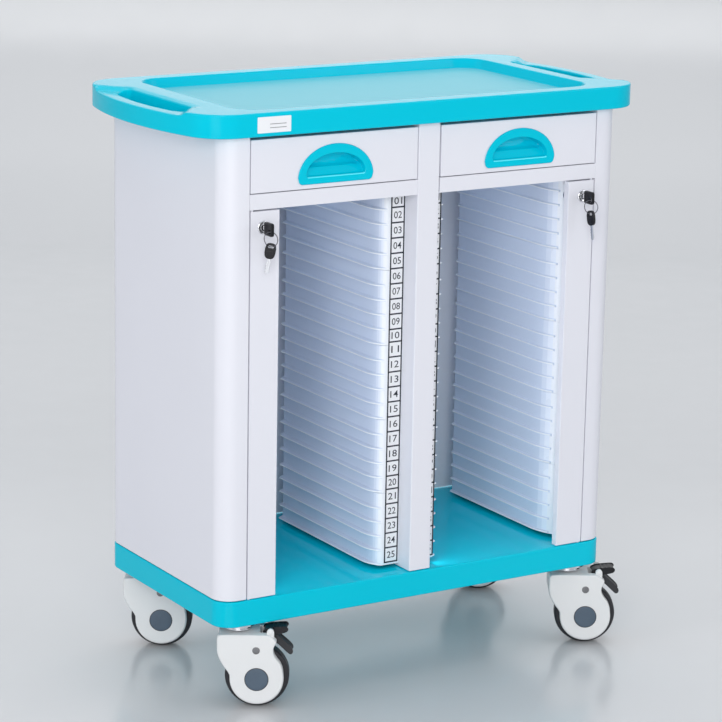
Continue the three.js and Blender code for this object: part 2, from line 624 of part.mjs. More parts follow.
for (const [word, side] of SIDES) {
  add(`${word}_side_panel`, sidePanel(side), whiteSteel);
  addSolid(`${word}_cross_rail`, crossRail(side), whiteSteel);
  add(`${word}_drawer_shelf`, drawerShelf(side), whiteSteel);
  addSolid(`${word}_drawer_front`, drawerFront(side), whiteSteel);
  addSolid(`${word}_drawer_box`, drawerBox(side), whiteSteel);
  addSolid(`${word}_drawer_pull`, drawerPull(side), turquoise);
  addSolid(`${word}_drawer_runner_inner`, runner(side * POST_HALF, side), zincSteel);
  addSolid(`${word}_drawer_runner_outer`,
    runner(side * (OPENING_EDGE + GAP), -side), zincSteel);

  const innerEdge = side * (POST_HALF + GAP);
  const outerEdge = side * (OPENING_EDGE - GAP);
  const innerProfile = side < 0 ? PANEL_PROFILES.wide : PANEL_PROFILES.narrow;
  addSolid(`${word}_column_inner_slots`, slotPanel(innerEdge, side, innerProfile), clearPlastic);
  addSolid(`${word}_column_outer_slots`,
    slotPanel(outerEdge, -side, PANEL_PROFILES.outer), clearPlastic);
  add(`${word}_label_strip`, labelStrip(innerEdge, side), labelWhite);

  addSolid(`${word}_locking_bar`, lockingBar(side), whiteSteel);
  addSolid(`${word}_lock_barrel`, lockBarrel(side), chrome);
  addSolid(`${word}_lock_plug`, lockPlug(side), chrome);
  addSolid(`${word}_lock_key`, lockKey(side), blackPlastic);
  const ring = ringFrame(side);
  add(`${word}_key_ring`, keyRing(), chrome, ring);
  addSolid(`${word}_spare_key`, spareKey(), blackPlastic, ring);
}

for (const [word, side] of SIDES) {
  for (const [end, sy] of [['front', -1], ['rear', 1]]) {
    const name = `${end}_${word}_caster`;
    const caster = new THREE.Group();
    caster.position.set(side * CASTER.x, sy * CASTER.y, 0);
    caster.rotation.z = CASTER.yaw;
    cart.add(caster);
    const wheel = new THREE.Group();
    wheel.position.set(CASTER.trail, 0, WHEEL.radius);
    caster.add(wheel);
    add(`${name}_mount`, casterMount(), chrome, caster);
    addSolid(`${name}_fork`, casterFork(), whiteAbs, caster);
    add(`${name}_axle`, casterAxle(), capGrey, wheel);
    add(`${name}_tyre`, casterTyre(), tyreBlack, wheel);
    add(`${name}_hub`, casterHub(), whiteAbs, wheel);
    if (end === 'front') add(`${name}_pedal`, brakePedal(), pedalGrey, caster);
  }
}

export default cart;
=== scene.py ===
"""Looks of a double-column patient file trolley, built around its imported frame.

Outlines and sizes are in millimetres and become metres in piece(). The studio is in metres.
+X is the trolley's right, -Y its front, +Z up, and the origin is on the floor under its
middle.
"""
import json
import math

import bmesh
import bpy
from mathutils import Matrix, Quaternion, Vector
from mathutils.geometry import delaunay_2d_cdt


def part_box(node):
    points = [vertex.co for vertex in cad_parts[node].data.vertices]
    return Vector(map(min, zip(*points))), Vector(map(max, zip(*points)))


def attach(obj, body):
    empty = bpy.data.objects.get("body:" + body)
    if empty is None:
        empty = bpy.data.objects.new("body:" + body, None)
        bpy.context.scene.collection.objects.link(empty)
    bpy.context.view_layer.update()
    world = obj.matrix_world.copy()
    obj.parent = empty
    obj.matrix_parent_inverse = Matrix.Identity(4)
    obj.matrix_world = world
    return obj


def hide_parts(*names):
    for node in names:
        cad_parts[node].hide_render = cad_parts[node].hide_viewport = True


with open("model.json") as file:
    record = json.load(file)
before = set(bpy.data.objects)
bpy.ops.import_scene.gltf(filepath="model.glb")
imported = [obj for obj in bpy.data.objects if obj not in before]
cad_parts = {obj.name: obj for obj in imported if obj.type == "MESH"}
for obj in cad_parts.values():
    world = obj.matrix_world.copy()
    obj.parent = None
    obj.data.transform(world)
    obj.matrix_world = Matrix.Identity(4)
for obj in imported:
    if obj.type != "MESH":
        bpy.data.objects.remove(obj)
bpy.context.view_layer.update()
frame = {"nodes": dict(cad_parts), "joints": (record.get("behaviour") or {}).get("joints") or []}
MM = 0.001
SIDES = (("left", -1), ("right", 1))
ENDS = ("front", "rear")


def box_mm(node):
    low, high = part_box(node)
    return low / MM, high / MM


# -------- outlines
def arc(cx, cy, rx, ry, start, stop, steps):
    turns = [math.radians(start + (stop - start) * i / steps) for i in range(steps + 1)]
    return [(cx + rx * math.cos(a), cy + ry * math.sin(a)) for a in turns]


def rounded_box(x0, x1, y0, y1, r, steps):
    """Counter-clockwise rectangle with corners of radius r."""
    return (
        arc(x1 - r, y0 + r, r, r, -90, 0, steps)
        + arc(x1 - r, y1 - r, r, r, 0, 90, steps)
        + arc(x0 + r, y1 - r, r, r, 90, 180, steps)
        + arc(x0 + r, y0 + r, r, r, 180, 270, steps)
    )


def softened(points, rounds, closed=True):
    """A line of points with its corners cut again and again, which rounds them."""
    for _ in range(rounds):
        cut = []
        for (x, y), (nx, ny) in zip(points, points[1:] + (points[:1] if closed else [])):
            cut.append((x * 0.75 + nx * 0.25, y * 0.75 + ny * 0.25))
            cut.append((x * 0.25 + nx * 0.75, y * 0.25 + ny * 0.75))
        points = cut if closed else [points[0], *cut, points[-1]]
    return points


SHARPEST_REACH = 0.35     # keeps the points of very sharp corners near


def offset(loop, distance):
    """Moves a counter-clockwise outline outwards by distance."""
    moved = []
    for i, point in enumerate(loop):
        here = Vector(point)
        before = (here - Vector(loop[i - 1])).normalized()
        after = (Vector(loop[(i + 1) % len(loop)]) - here).normalized()
        normal = Vector((before.y + after.y, -before.x - after.x)).normalized()
        reach = max(SHARPEST_REACH, normal.dot(Vector((after.y, -after.x))))
        moved.append(tuple(here + normal * distance / reach))
    return moved


def inside(point, loop):
    x, y = point
    hit = False
    for (ax, ay), (bx, by) in zip(loop, loop[1:] + loop[:1]):
        if (ay > y) != (by > y) and x < (bx - ax) * (y - ay) / (by - ay) + ax:
            hit = not hit
    return hit


def smooth_step(value, low, high):
    t = min(1.0, max(0.0, (value - low) / (high - low)))
    return t * t * (3 - 2 * t)


# -------- mesh building
def flat(x, y, height):
    return (x, y, height)


def facing_front(x, z, depth):
    """Outline (x, z) with depth measured towards the front."""
    return (x, -depth, z)


class Shape:
    """Vertices, faces and material indices of one mesh, in millimetres."""

    def __init__(self):
        self.verts, self.faces, self.slots = [], [], []

    def add(self, verts, faces, slot=0):
        start = len(self.verts)
        self.verts += [tuple(v) for v in verts]
        self.faces += [tuple(start + i for i in face) for face in faces]
        self.slots += [slot] * len(faces)

    def loft(self, rings, slot=0, caps=True, closed=False, side_slots=None):
        """Quads between rings of equal length, with end caps, or back to the first ring."""
        count = len(rings[0])
        pairs = len(rings) if closed else len(rings) - 1
        faces = []
        for r in range(pairs):
            a, b = r * count, (r + 1) % len(rings) * count
            for i in range(count):
                j = (i + 1) % count
                faces.append((a + i, a + j, b + j, b + i))
        if caps and not closed:
            last = (len(rings) - 1) * count
            faces.append(tuple(range(count - 1, -1, -1)))
            faces.append(tuple(range(last, last + count)))
        self.add([v for ring in rings for v in ring], faces, slot)
        for k in range(pairs * count if side_slots else 0):
            self.slots[len(self.slots) - len(faces) + k] = side_slots[k % count]

    def sheet(self, outer, holes, height, place=flat, slot=0, extra=()):
        """Fills between an outline and its holes at a height, which may be a function."""
        points, edges = [], []
        for loop in [outer, *holes]:
            start = len(points)
            points += [Vector(p) for p in loop]
            edges += [(start + i, start + (i + 1) % len(loop)) for i in range(len(loop))]
        points += [Vector(p) for p in extra]
        verts, _, faces, *_ = delaunay_2d_cdt(points, edges, [], 1, 1e-6)
        kept = []
        for face in faces:
            middle = sum((verts[i] for i in face), Vector((0, 0))) / len(face)
            if inside(middle, outer) and not any(inside(middle, hole) for hole in holes):
                kept.append(face)
        level = height if callable(height) else lambda x, y: height
        self.add([place(v.x, v.y, level(v.x, v.y)) for v in verts], kept, slot)

    def rim(self, loop, edge, low, high, place=flat, slot=0, hole=False, steps=4):
        """Wall of a plate along a loop, with rounded edges at both faces.

        high may be a function, and edge is the radius of the rounded edges.
        """
        sign = 1 if hole else -1
        level = high if callable(high) else lambda x, y: high
        rings = []
        for at_top in (False, True):
            for i in range(steps + 1):
                turn = math.pi / 2 * (i if at_top else steps - i) / steps
                shift = sign * edge * (1 - math.cos(turn))
                drop = edge * (1 - math.sin(turn))
                ring = offset(loop, shift)
                base = offset(loop, sign * edge)
                rings.append([
                    place(x, y, level(bx, by) - drop if at_top else low + drop)
                    for (x, y), (bx, by) in zip(ring, base)
                ])
        self.loft(rings, slot, caps=False)

    def plate(self, outer, holes, low, high, edge, place=flat, slot=0, steps=3):
        """Closed plate with rounded edges and through holes. Loops run counter-clockwise."""
        self.rim(outer, edge, low, high, place, slot, steps=steps)
        for hole in holes:
            self.rim(hole, edge, low, high, place, slot, hole=True, steps=steps)
        inner = offset(outer, -edge)
        wider = [offset(hole, edge) for hole in holes]
        self.sheet(inner, wider, low, place, slot)
        self.sheet(inner, wider, high, place, slot)

    def turned(self, profile, place, segments=48, slot=0):
        """Closed profile [(radius, height), ...] turned about the height axis."""
        rings = []
        for i in range(segments):
            a = 2 * math.pi * i / segments
            rings.append([place(r * math.cos(a), r * math.sin(a), h) for r, h in profile])
        self.loft(rings, slot, closed=True)

    def tube(self, points, radius, segments=10):
        """Round wire along an open line of points."""
        rings = []
        side = Vector((0, 0, 1))
        for i, point in enumerate(points):
            ahead = Vector(points[min(i + 1, len(points) - 1)])
            along = (ahead - Vector(points[max(i - 1, 0)])).normalized()
            side = (side - along * side.dot(along)).normalized()
            other = along.cross(side)
            turns = [2 * math.pi * k / segments for k in range(segments)]
            rings.append([
                Vector(point) + radius * (math.cos(a) * side + math.sin(a) * other)
                for a in turns
            ])
        self.loft(rings)


MERGE_M, DEGENERATE_M, WELD_M = 2e-6, 1e-7, 1e-5
FLAT_TURN, BEVEL_TURN = math.radians(1), math.radians(40)


def piece(name, shape, body, materials, replaces=(), sharp=35, weighted=True):
    """Turns a Shape into a piece that rides on a body. sharp is in degrees."""
    mesh = bpy.data.meshes.new(name)
    mesh.from_pydata([Vector(v) * MM for v in shape.verts], [], shape.faces)
    for material in materials:
        mesh.materials.append(material)
    mesh.polygons.foreach_set("material_index", shape.slots)
    bm = bmesh.new()
    bm.from_mesh(mesh)
    bmesh.ops.remove_doubles(bm, verts=bm.verts, dist=MERGE_M)
    bmesh.ops.dissolve_degenerate(bm, edges=bm.edges, dist=DEGENERATE_M)
    bmesh.ops.recalc_face_normals(bm, faces=bm.faces)
    bm.to_mesh(mesh)
    bm.free()
    mesh.shade_smooth()
    mesh.set_sharp_from_angle(angle=math.radians(sharp))
    obj = bpy.data.objects.new(name, mesh)
    bpy.context.scene.collection.objects.link(obj)
    if weighted:
        obj.modifiers.new("normals", "WEIGHTED_NORMAL").keep_sharp = True
    if replaces:
        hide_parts(*replaces)
    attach(obj, body)


def dress(names, material, bevel=0.5):
    """Gives carried-over nodes a material and slightly rounded edges."""
    for name in names:
        node = frame["nodes"][name]
        node.data.materials.clear()
        node.data.materials.append(material)
        node.data.shade_smooth()
        node.modifiers.new("weld", "WELD").merge_threshold = WELD_M
        merged = node.modifiers.new("merge", "DECIMATE")
        merged.decimate_type = "DISSOLVE"
        merged.angle_limit = FLAT_TURN
        edge = node.modifiers.new("edge", "BEVEL")
        edge.width = bevel * MM
        edge.segments = 2
        edge.limit_method = "ANGLE"
        edge.angle_limit = BEVEL_TURN
        node.modifiers.new("normals", "WEIGHTED_NORMAL").keep_sharp = True


# -------- materials
NOISE_LOW, NOISE_HIGH = 0.3, 0.7        # nearly all of the noise lies between these
GLOSS_SCALE = 7                         # gloss patches are this much smaller than colour's
LEAST_ROUGHNESS = 0.02
BUMP_STRENGTH = 0.5


def surface(
    name, color, roughness, metallic=0.0, tint=0.03, patch=4.0,
    grain=900.0, grain_depth=0.02, rough_spread=0.05, specular=0.5,
):
    """Principled surface with soft colour patches, uneven gloss and a fine bumpy grain.

    patch and grain are noise scales per metre, and grain_depth is in millimetres.
    """
    material = bpy.data.materials.new(name)
    material.use_nodes = True
    nodes, links = material.node_tree.nodes, material.node_tree.links
    shader = nodes["Principled BSDF"]
    shader.inputs["Metallic"].default_value = metallic
    shader.inputs["Specular IOR Level"].default_value = specular
    place = nodes.new("ShaderNodeTexCoord")

    def noise(scale, detail):
        node = nodes.new("ShaderNodeTexNoise")
        node.inputs["Scale"].default_value = scale
        node.inputs["Detail"].default_value = detail
        links.new(place.outputs["Object"], node.inputs["Vector"])
        return node

    ramp = nodes.new("ShaderNodeValToRGB")
    dark, light = ramp.color_ramp.elements
    dark.position, light.position = NOISE_LOW, NOISE_HIGH
    dark.color = (*[c * (1 - tint) for c in color], 1)
    light.color = (*[min(1, c * (1 + tint)) for c in color], 1)
    links.new(noise(patch, 4).outputs["Fac"], ramp.inputs["Fac"])
    links.new(ramp.outputs["Color"], shader.inputs["Base Color"])

    spread = nodes.new("ShaderNodeMapRange")
    spread.inputs["From Min"].default_value = NOISE_LOW
    spread.inputs["From Max"].default_value = NOISE_HIGH
    spread.inputs["To Min"].default_value = max(LEAST_ROUGHNESS, roughness - rough_spread)
    spread.inputs["To Max"].default_value = roughness + rough_spread
    links.new(noise(patch * GLOSS_SCALE, 3).outputs["Fac"], spread.inputs["Value"])
    links.new(spread.outputs["Result"], shader.inputs["Roughness"])

    bump = nodes.new("ShaderNodeBump")
    bump.inputs["Strength"].default_value = BUMP_STRENGTH
    bump.inputs["Distance"].default_value = grain_depth * MM
    links.new(noise(grain, 2).outputs["Fac"], bump.inputs["Height"])
    links.new(bump.outputs["Normal"], shader.inputs["Normal"])
    return material


POWDER = {"tint": 0.01, "grain": 700}
PLASTIC = {"tint": 0.01, "grain": 500, "rough_spread": 0.01}
SMOOTH = {**PLASTIC, "patch": 3, "grain_depth": 0.01}
WHITE = surface("white_powder_coat", (0.79, 0.795, 0.86), 0.34, **POWDER)
# Lighter, bluer copy of the white for the back panel: painted light where it is seen through the
# columns.
BACK_PANEL_PAINTED_LIGHT = surface("back_powder_coat_painted_light", (0.80, 0.83, 0.91), 0.34, **POWDER)
TURQUOISE = surface(
    "turquoise_moulding", (0.0003, 0.56, 0.725), 0.11, tint=0.015, grain=350,
    grain_depth=0.005, rough_spread=0.02, specular=0.13)
# Paler, greyer turquoise for the recess deck: a painted reflection of the bright room.
DECK_PAINTED_REFLECTION = surface(
    "turquoise_deck_painted_reflection", (0.14, 0.585, 0.70), 0.4, tint=0.004, grain=2500,
    grain_depth=0.001, rough_spread=0.004, specular=0.34)
# Lighter, glossier turquoise for the pull's lower lip: the gloss is real, the lighter colour is
# a painted highlight.
SILL_PAINTED_HIGHLIGHT = surface(
    "turquoise_sill_painted_highlight", (0.10, 0.84, 0.96), 0.08, tint=0.01, grain=900, grain_depth=0.004)
# Lighter copy of the turquoise for the base tray's upper face: painted light.
BASE_TOP_PAINTED_LIGHT = surface(
    "turquoise_base_top_painted_light", (0.0003, 0.64, 0.83), 0.12, tint=0.01, patch=3, grain=600,
    grain_depth=0.004, rough_spread=0.01, specular=0.1)
CLEAR = surface(
    "slot_plastic", (0.625, 0.705, 0.85), 0.3, **{**PLASTIC, "tint": 0.02}, grain_depth=0.008)
# Lighter copies of the slot plastic for the front and the bend of each panel: painted light.
PALE_PAINTED_LIGHT = surface("slot_plastic_pale_painted_light", (0.86, 0.90, 0.965), 0.25, **PLASTIC, grain_depth=0.008)
SOFT_PAINTED_LIGHT = surface("slot_plastic_soft_painted_light", (0.77, 0.83, 0.94), 0.28, **SMOOTH)
MID_PAINTED_LIGHT = surface("slot_plastic_mid_painted_light", (0.695, 0.765, 0.895), 0.29, **SMOOTH)
# Lighter copy for the ledge tips: a painted highlight.
TIP_PAINTED_HIGHLIGHT = surface("slot_ledge_tip_painted_highlight", (0.90, 0.94, 0.99), 0.22, **SMOOTH)
CARD = surface("label_card", (0.86, 0.87, 0.90), 0.4, tint=0.01, grain=1500)
INK = surface("label_ink", (0.012, 0.016, 0.03), 0.45, tint=0.1, grain=2500, grain_depth=0.005)
ZINC = surface(
    "zinc_steel", (0.56, 0.57, 0.60), 0.32, metallic=1, tint=0.06, patch=60, grain=1200)
CHROME = surface(
    "chrome_plate", (0.80, 0.80, 0.83), 0.09, metallic=1, tint=0.02, patch=90, grain=600,
    grain_depth=0.004, rough_spread=0.03)
WIRE = surface(
    "ring_wire", (0.17, 0.17, 0.19), 0.3, metallic=0.9, tint=0.1, patch=200, grain=2500)
BLACK = surface(
    "black_plastic", (0.007, 0.007, 0.010), 0.36, tint=0.2, patch=80, grain=1800,
    specular=0.3)
ABS = surface(
    "white_abs", (0.76, 0.77, 0.78), 0.22, tint=0.015, patch=12, grain=400, grain_depth=0.008)
TYRE = surface(
    "dark_tread", (0.016, 0.016, 0.021), 0.5, tint=0.25, patch=50, grain=900, grain_depth=0.05,
    rough_spread=0.1)
CAP = surface("grey_cap", (0.075, 0.11, 0.155), 0.4, tint=0.06, patch=60, grain=1500)
PEDAL = surface("pedal_plastic", (0.022, 0.023, 0.027), 0.5, tint=0.2, patch=60, grain=1500)
RIVET = surface("grey_rivet", (0.19, 0.19, 0.20), 0.42, metallic=0.6, tint=0.1, patch=200)


# -------- top tray
TRAY_LOW, TRAY_HIGH = box_mm("top_tray")
TRAY_MIDDLE = (TRAY_LOW.y + TRAY_HIGH.y) / 2
TRAY_BULGE = 36          # how far each end bulges past the straight corners
TRAY_CORNER = 62
TRAY_EDGE = 2.6
RECESS = {"half_w": 320, "front": -174, "rear": 180, "corner": 42, "depth": 15.5, "draft": 4,
          "foot": 2.5, "thickness": 4}
# Finger openings: the bar outside them is as wide as "bar", and "inner" is by side.
GRIP = {"half": 104, "bar": 21, "round_in": 9, "round_out": 12, "inner": {-1: 363, 1: 347}}
# The bars lie lower than the rim. Each end of a bar is a ramp, which slants from "from" on.
BAR_DROP = 7
RAMP = {"low": 92, "high": 120, "slant": 1.3, "from": 372, "inner": 353, "outer": 373}
# Extra points of the upper face, where it slopes.
SAMPLE_STEP, SAMPLE_MARGIN = 4, 8
SAMPLE_XS = range(352, 418, SAMPLE_STEP)


def tray_outline():
    """Straight front and rear, bulging ends, round corners."""
    front, rear, corner = TRAY_LOW.y, TRAY_HIGH.y, TRAY_CORNER
    half = (rear - front) / 2
    side_radius = (half * half + TRAY_BULGE**2) / (2 * TRAY_BULGE)
    cx = TRAY_HIGH.x - side_radius
    corner_x = cx + math.sqrt((side_radius - corner) ** 2 - (half - corner) ** 2)
    turn = math.degrees(math.atan2(half - corner, corner_x - cx))
    right = (
        arc(corner_x, front + corner, corner, corner, -90, -turn, 12)
        + arc(cx, TRAY_MIDDLE, side_radius, side_radius, -turn, turn, 30)[1:-1]
        + arc(corner_x, rear - corner, corner, corner, turn, 90, 12)
    )
    return right + [(-x, y) for x, y in reversed(right)]


def bar_x(y):
    """Inner edge of the grip bar, parallel to the tray's bulging end."""
    half = (TRAY_HIGH.y - TRAY_LOW.y) / 2 - GRIP["bar"]
    radius = (half * half + TRAY_BULGE**2) / (2 * TRAY_BULGE)
    reach = math.sqrt(radius**2 - (y - TRAY_MIDDLE) ** 2)
    return TRAY_HIGH.x - GRIP["bar"] - radius + reach


def grip_outline(side):
    """Finger opening: straight towards the deck, parallel to the tray's end outside."""
    low, high = TRAY_MIDDLE - GRIP["half"], TRAY_MIDDLE + GRIP["half"]
    inner, r_in, r_out = GRIP["inner"][side], GRIP["round_in"], GRIP["round_out"]
    steps = 24
    span = [low + r_out + (high - low - 2 * r_out) * i / steps for i in range(steps + 1)]
    loop = (
        arc(inner + r_in, low + r_in, r_in, r_in, 180, 270, 5)
        + arc(bar_x(low) - r_out, low + r_out, r_out, r_out, -90, -8, 6)
        + [(bar_x(y), y) for y in span]
        + arc(bar_x(high) - r_out, high - r_out, r_out, r_out, 8, 90, 6)
        + arc(inner + r_in, high - r_in, r_in, r_in, 90, 180, 5)
    )
    return loop if side > 0 else [(-x, y) for x, y in reversed(loop)]


def rim_height(x, y):
    """Height of the tray's upper face around the recess."""
    along = abs(y - TRAY_MIDDLE) - RAMP["slant"] * max(0, abs(x) - RAMP["from"])
    across = smooth_step(abs(x), RAMP["inner"], RAMP["outer"])
    return TRAY_HIGH.z - BAR_DROP * across * (1 - smooth_step(along, RAMP["low"], RAMP["high"]))


def rounded_lip(loop, edge, height, place=flat):
    """Rings of the quarter-round lip where a face turns down into a hole."""
    rings = []
    for i in range(5):
        turn = math.pi / 2 * i / 4
        ring = offset(loop, edge * (1 - math.sin(turn)))
        rings.append([place(u, v, height - edge * (1 - math.cos(turn))) for u, v in ring])
    return rings


def pocket_under(shape, loop, low, ceiling):
    """Hollow below a moulding: its wall from low up to its ceiling."""
    rings = [[(x, y, z) for x, y in loop] for z in (low, ceiling)]
    shape.loft(rings, caps=False)
    shape.add(rings[1], [tuple(range(len(loop)))])


def top_tray():
    shape = Shape()
    outline = tray_outline()
    grips = [grip_outline(side) for side in (-1, 1)]
    half_w = RECESS["half_w"]
    recess = rounded_box(
        -half_w, half_w, RECESS["front"], RECESS["rear"], RECESS["corner"], 12)
    bottom, top = TRAY_LOW.z, TRAY_HIGH.z
    shape.rim(outline, TRAY_EDGE, bottom, rim_height)
    for grip in grips:
        shape.rim(grip, TRAY_EDGE, bottom, rim_height, hole=True)
    ys = range(int(TRAY_LOW.y) + SAMPLE_MARGIN, int(TRAY_HIGH.y) - SAMPLE_MARGIN, SAMPLE_STEP)
    face = offset(outline, -TRAY_EDGE)
    holes = [offset(grip, TRAY_EDGE) for grip in grips]
    samples = [
        (side * x, y)
        for side in (-1, 1) for x in SAMPLE_XS for y in ys
        if inside((side * x, y), offset(outline, -TRAY_EDGE - 2))
        and not any(inside((side * x, y), offset(grip, TRAY_EDGE + 2)) for grip in grips)
    ]
    shape.sheet(face, [*holes, offset(recess, TRAY_EDGE)], rim_height, extra=samples)
    # The recess: rounded lip, drafted wall, rounded foot, flat deck.
    floor, foot = top - RECESS["depth"], RECESS["foot"]
    rings = rounded_lip(recess, TRAY_EDGE, top)
    for i in range(5):
        turn = math.pi / 2 * i / 4
        ring = offset(recess, -RECESS["draft"] - foot * (1 - math.cos(turn)))
        rings.append([(x, y, floor + foot * (1 - math.sin(turn))) for x, y in ring])
    shape.loft(rings, caps=False)
    # The deck takes the paler turquoise: a painted reflection.
    shape.add(rings[-1], [tuple(range(len(recess)))], 1)
    # The underside is hollow below the deck.
    pocket = offset(recess, -RECESS["draft"])
    shape.sheet(face, [*holes, pocket], bottom)
    pocket_under(shape, pocket, bottom, floor - RECESS["thickness"])
    piece("moulded_top_tray", shape, "root", [TURQUOISE, DECK_PAINTED_REFLECTION],
          ["top_tray"])


PLATE, PLATE_THICKNESS = (-311, -254, 902, 926), 0.5       # left, right, low, high
RULE_X, RULE_LOWS, RULE_HEIGHT = (-290, -262), (909, 914.5), 0.9


def blank_plate():
    """Plain white plate with two thin rules, stuck on the tray's front."""
    shape = Shape()
    front = -TRAY_LOW.y
    face = front + PLATE_THICKNESS
    shape.plate(rounded_box(*PLATE, 1.2, 3), [], front, face, 0.15, facing_front, steps=2)
    for low in RULE_LOWS:
        rule = rounded_box(*RULE_X, low, low + RULE_HEIGHT, 0.3, 2)
        shape.plate(rule, [], face - 0.1, face + 0.1, 0.05, facing_front, slot=1, steps=1)
    piece("blank_plate", shape, "root", [CARD, RIVET])


# -------- base tray
BASE = {"wall": 4, "corner": 32, "edge": 2.4, "inset": 6, "boss": 30}


def base_tray():
    """Tray with a hollow underside, and a round boss over each caster."""
    shape = Shape()
    low, high = box_mm("base_tray")
    outline = rounded_box(low.x, high.x, low.y, high.y, BASE["corner"], 14)
    shape.rim(outline, BASE["edge"], low.z, high.z)
    face, inner = offset(outline, -BASE["edge"]), offset(outline, -BASE["inset"])
    # The upper face gets the lighter copy: painted light.
    shape.sheet(face, [], high.z, slot=1)
    shape.sheet(face, [inner], low.z)
    ceiling = high.z - BASE["wall"]
    pocket_under(shape, inner, low.z, ceiling)
    for x, y in SWIVELS.values():
        boss = [(0, low.z), (BASE["boss"], low.z), (BASE["boss"], ceiling + 1),
                (0, ceiling + 1)]
        shape.turned(boss, lambda px, py, pz, x=x, y=y: (x + px, y + py, pz))
    piece("moulded_base", shape, "root", [TURQUOISE, BASE_TOP_PAINTED_LIGHT],
          ["base_tray"])


# -------- drawer pulls
PULL = {"half_w": 66, "height": 59.5, "rim": 14.5, "sill": 11.3, "bottom": 816.5,
        "corner": 7.5, "mouth_corner": 2.6, "proud": 2.3, "edge": 1.7, "lap": 0.2,
        "thickness": 1.6}
# Depth of the cup behind the drawer's face, by height above the sill.
CUP = ((0, 2.5), (11.5, 9.5), (13, 10.3), (14.2, 14.2), (17, 16.2), (24, 18.6), (60, 18.8))
CUP_SAMPLES = {"across": range(-48, 49, 6), "up": [h for h, _ in CUP[1:-1]] + [5, 20, 28, 33]}
# The lower edge's points get the painted highlight.
SILL_POINTS = range(3, 11)      # the mouth's points along its lower edge


def cup_depth(height):
    for (low, near), (high, far) in zip(CUP, CUP[1:]):
        if height <= high:
            return near + (far - near) * max(0, height - low) / (high - low)
    return CUP[-1][1]


def half_moon(inset, sill, cx, r):
    """Half ellipse on a flat foot, counter-clockwise from the foot's left corner."""
    half_w = PULL["half_w"] - inset
    base = PULL["bottom"] + sill
    height = PULL["height"] - inset - sill
    return (
        arc(cx - half_w + r + 1, base + r, r, r, 205, 270, 6)
        + arc(cx + half_w - r - 1, base + r, r, r, -90, -25, 6)
        + arc(cx, base + r, half_w, height - r, 4, 176, 36)
    )


def drawer_pull(word):
    """Half-moon frame around a cup; its glossy lower lip is painted lighter as a highlight."""
    low, high = box_mm(f"{word}_drawer_pull")
    edge = PULL["edge"]
    cx, front = (low.x + high.x) / 2, -low.y
    face = front - PULL["proud"]
    behind, base = face - PULL["lap"], PULL["bottom"] + PULL["sill"]
    outer = half_moon(0, 0, cx, PULL["corner"])
    inner = half_moon(PULL["rim"], PULL["sill"], cx, PULL["mouth_corner"])

    def back(x, z):
        return face - cup_depth(z - base)

    shape = Shape()
    shape.rim(outer, edge, behind, front, facing_front)
    shape.sheet(offset(outer, -edge), [offset(inner, edge)], front, facing_front)
    lip = rounded_lip(inner, edge, front, facing_front)
    # The sill faces of the lip get the lighter turquoise: a painted highlight.
    shape.loft(lip, caps=False, side_slots=[int(i in SILL_POINTS) for i in range(len(inner))])
    foot = offset(inner, -1.6)
    shape.loft([
        lip[-1],
        [facing_front(x, z, back(x, z) + 1.2) for x, z in offset(inner, -0.5)],
        [facing_front(x, z, back(x, z)) for x, z in foot],
    ], caps=False)
    samples = [
        (cx + x, base + up) for x in CUP_SAMPLES["across"] for up in CUP_SAMPLES["up"]
        if inside((cx + x, base + up), offset(foot, -1))
    ]
    shape.sheet(foot, [], back, facing_front, extra=samples)
    # The cup's outside, behind the drawer's face.
    brim, hull = offset(inner, 2), offset(inner, 1)
    tail = face - CUP[-1][1] - PULL["thickness"]
    shape.sheet(offset(outer, -edge), [brim], behind, facing_front)
    shape.loft([[facing_front(x, z, behind) for x, z in brim],
                [facing_front(x, z, tail) for x, z in hull]], caps=False)
    shape.sheet(hull, [], tail, facing_front)
    piece(f"{word}_half_moon_pull", shape, f"{word}_drawer",
          [TURQUOISE, SILL_PAINTED_HIGHLIGHT], [f"{word}_drawer_pull"], sharp=50)


# -------- slot panels
# Each ribbed panel is a stack of modules with ledges. Its section starts at the column's edge:
# "flat" is how wide the front is before the bend, "face" where the wall runs back, "tip" how
# far the ledges reach, and the reaches are how deep each bend is. "ledge_from" is the turn in
# degrees where the ledges start. Points up to "pale", and then up to "soft", are painted
# lighter: lit copies of the plastic, painted light on the front and the bend.
MODULE = {"count": 5, "ledges": 5, "pitch": 23.25, "first": 2.8, "seam": 0.5}
PROFILES = {
    "left_inner": {"flat": 31, "face": 42, "tip": 50, "wall_reach": 27, "ledge_reach": 36,
                   "ledge_from": -90, "pale": 5, "soft": 7},
    "right_inner": {"flat": 24, "face": 26, "tip": 31.5, "wall_reach": 3, "ledge_reach": 5,
                    "ledge_from": -90, "pale": 5, "soft": 8},
    "outer": {"flat": 12, "face": 40, "tip": 44.5, "wall_reach": 50, "ledge_reach": 55,
              "ledge_from": -45, "pale": 8, "soft": 10},
}
REAR_REACH = 11
SHEET = 2
# Looks of a panel, and the number of each. The plain plastic comes first; the others are
# lighter copies of it, painted light on the bend and a painted highlight on the ledge tips.
PANEL_LOOKS = [CLEAR, PALE_PAINTED_LIGHT, SOFT_PAINTED_LIGHT, TIP_PAINTED_HIGHLIGHT, MID_PAINTED_LIGHT]
CLEAR_SLOT, PALE_PAINTED_LIGHT_SLOT, SOFT_PAINTED_LIGHT_SLOT, TIP_PAINTED_HIGHLIGHT_SLOT, MID_PAINTED_LIGHT_SLOT = range(len(PANEL_LOOKS))
# This many points past "soft" get the mid copy, painted light fading into the plain plastic.
MID_POINTS = 2
# Ledge section: share of the way from wall to tip, and height above the ledge's top.
LEDGE_SECTION = ((0, 2.4), (0.5, 1.0), (0.82, 0.3), (0.97, -0.1), (1, -0.7), (0.94, -1.5),
                 (0.5, -2.0), (0, -2.5))
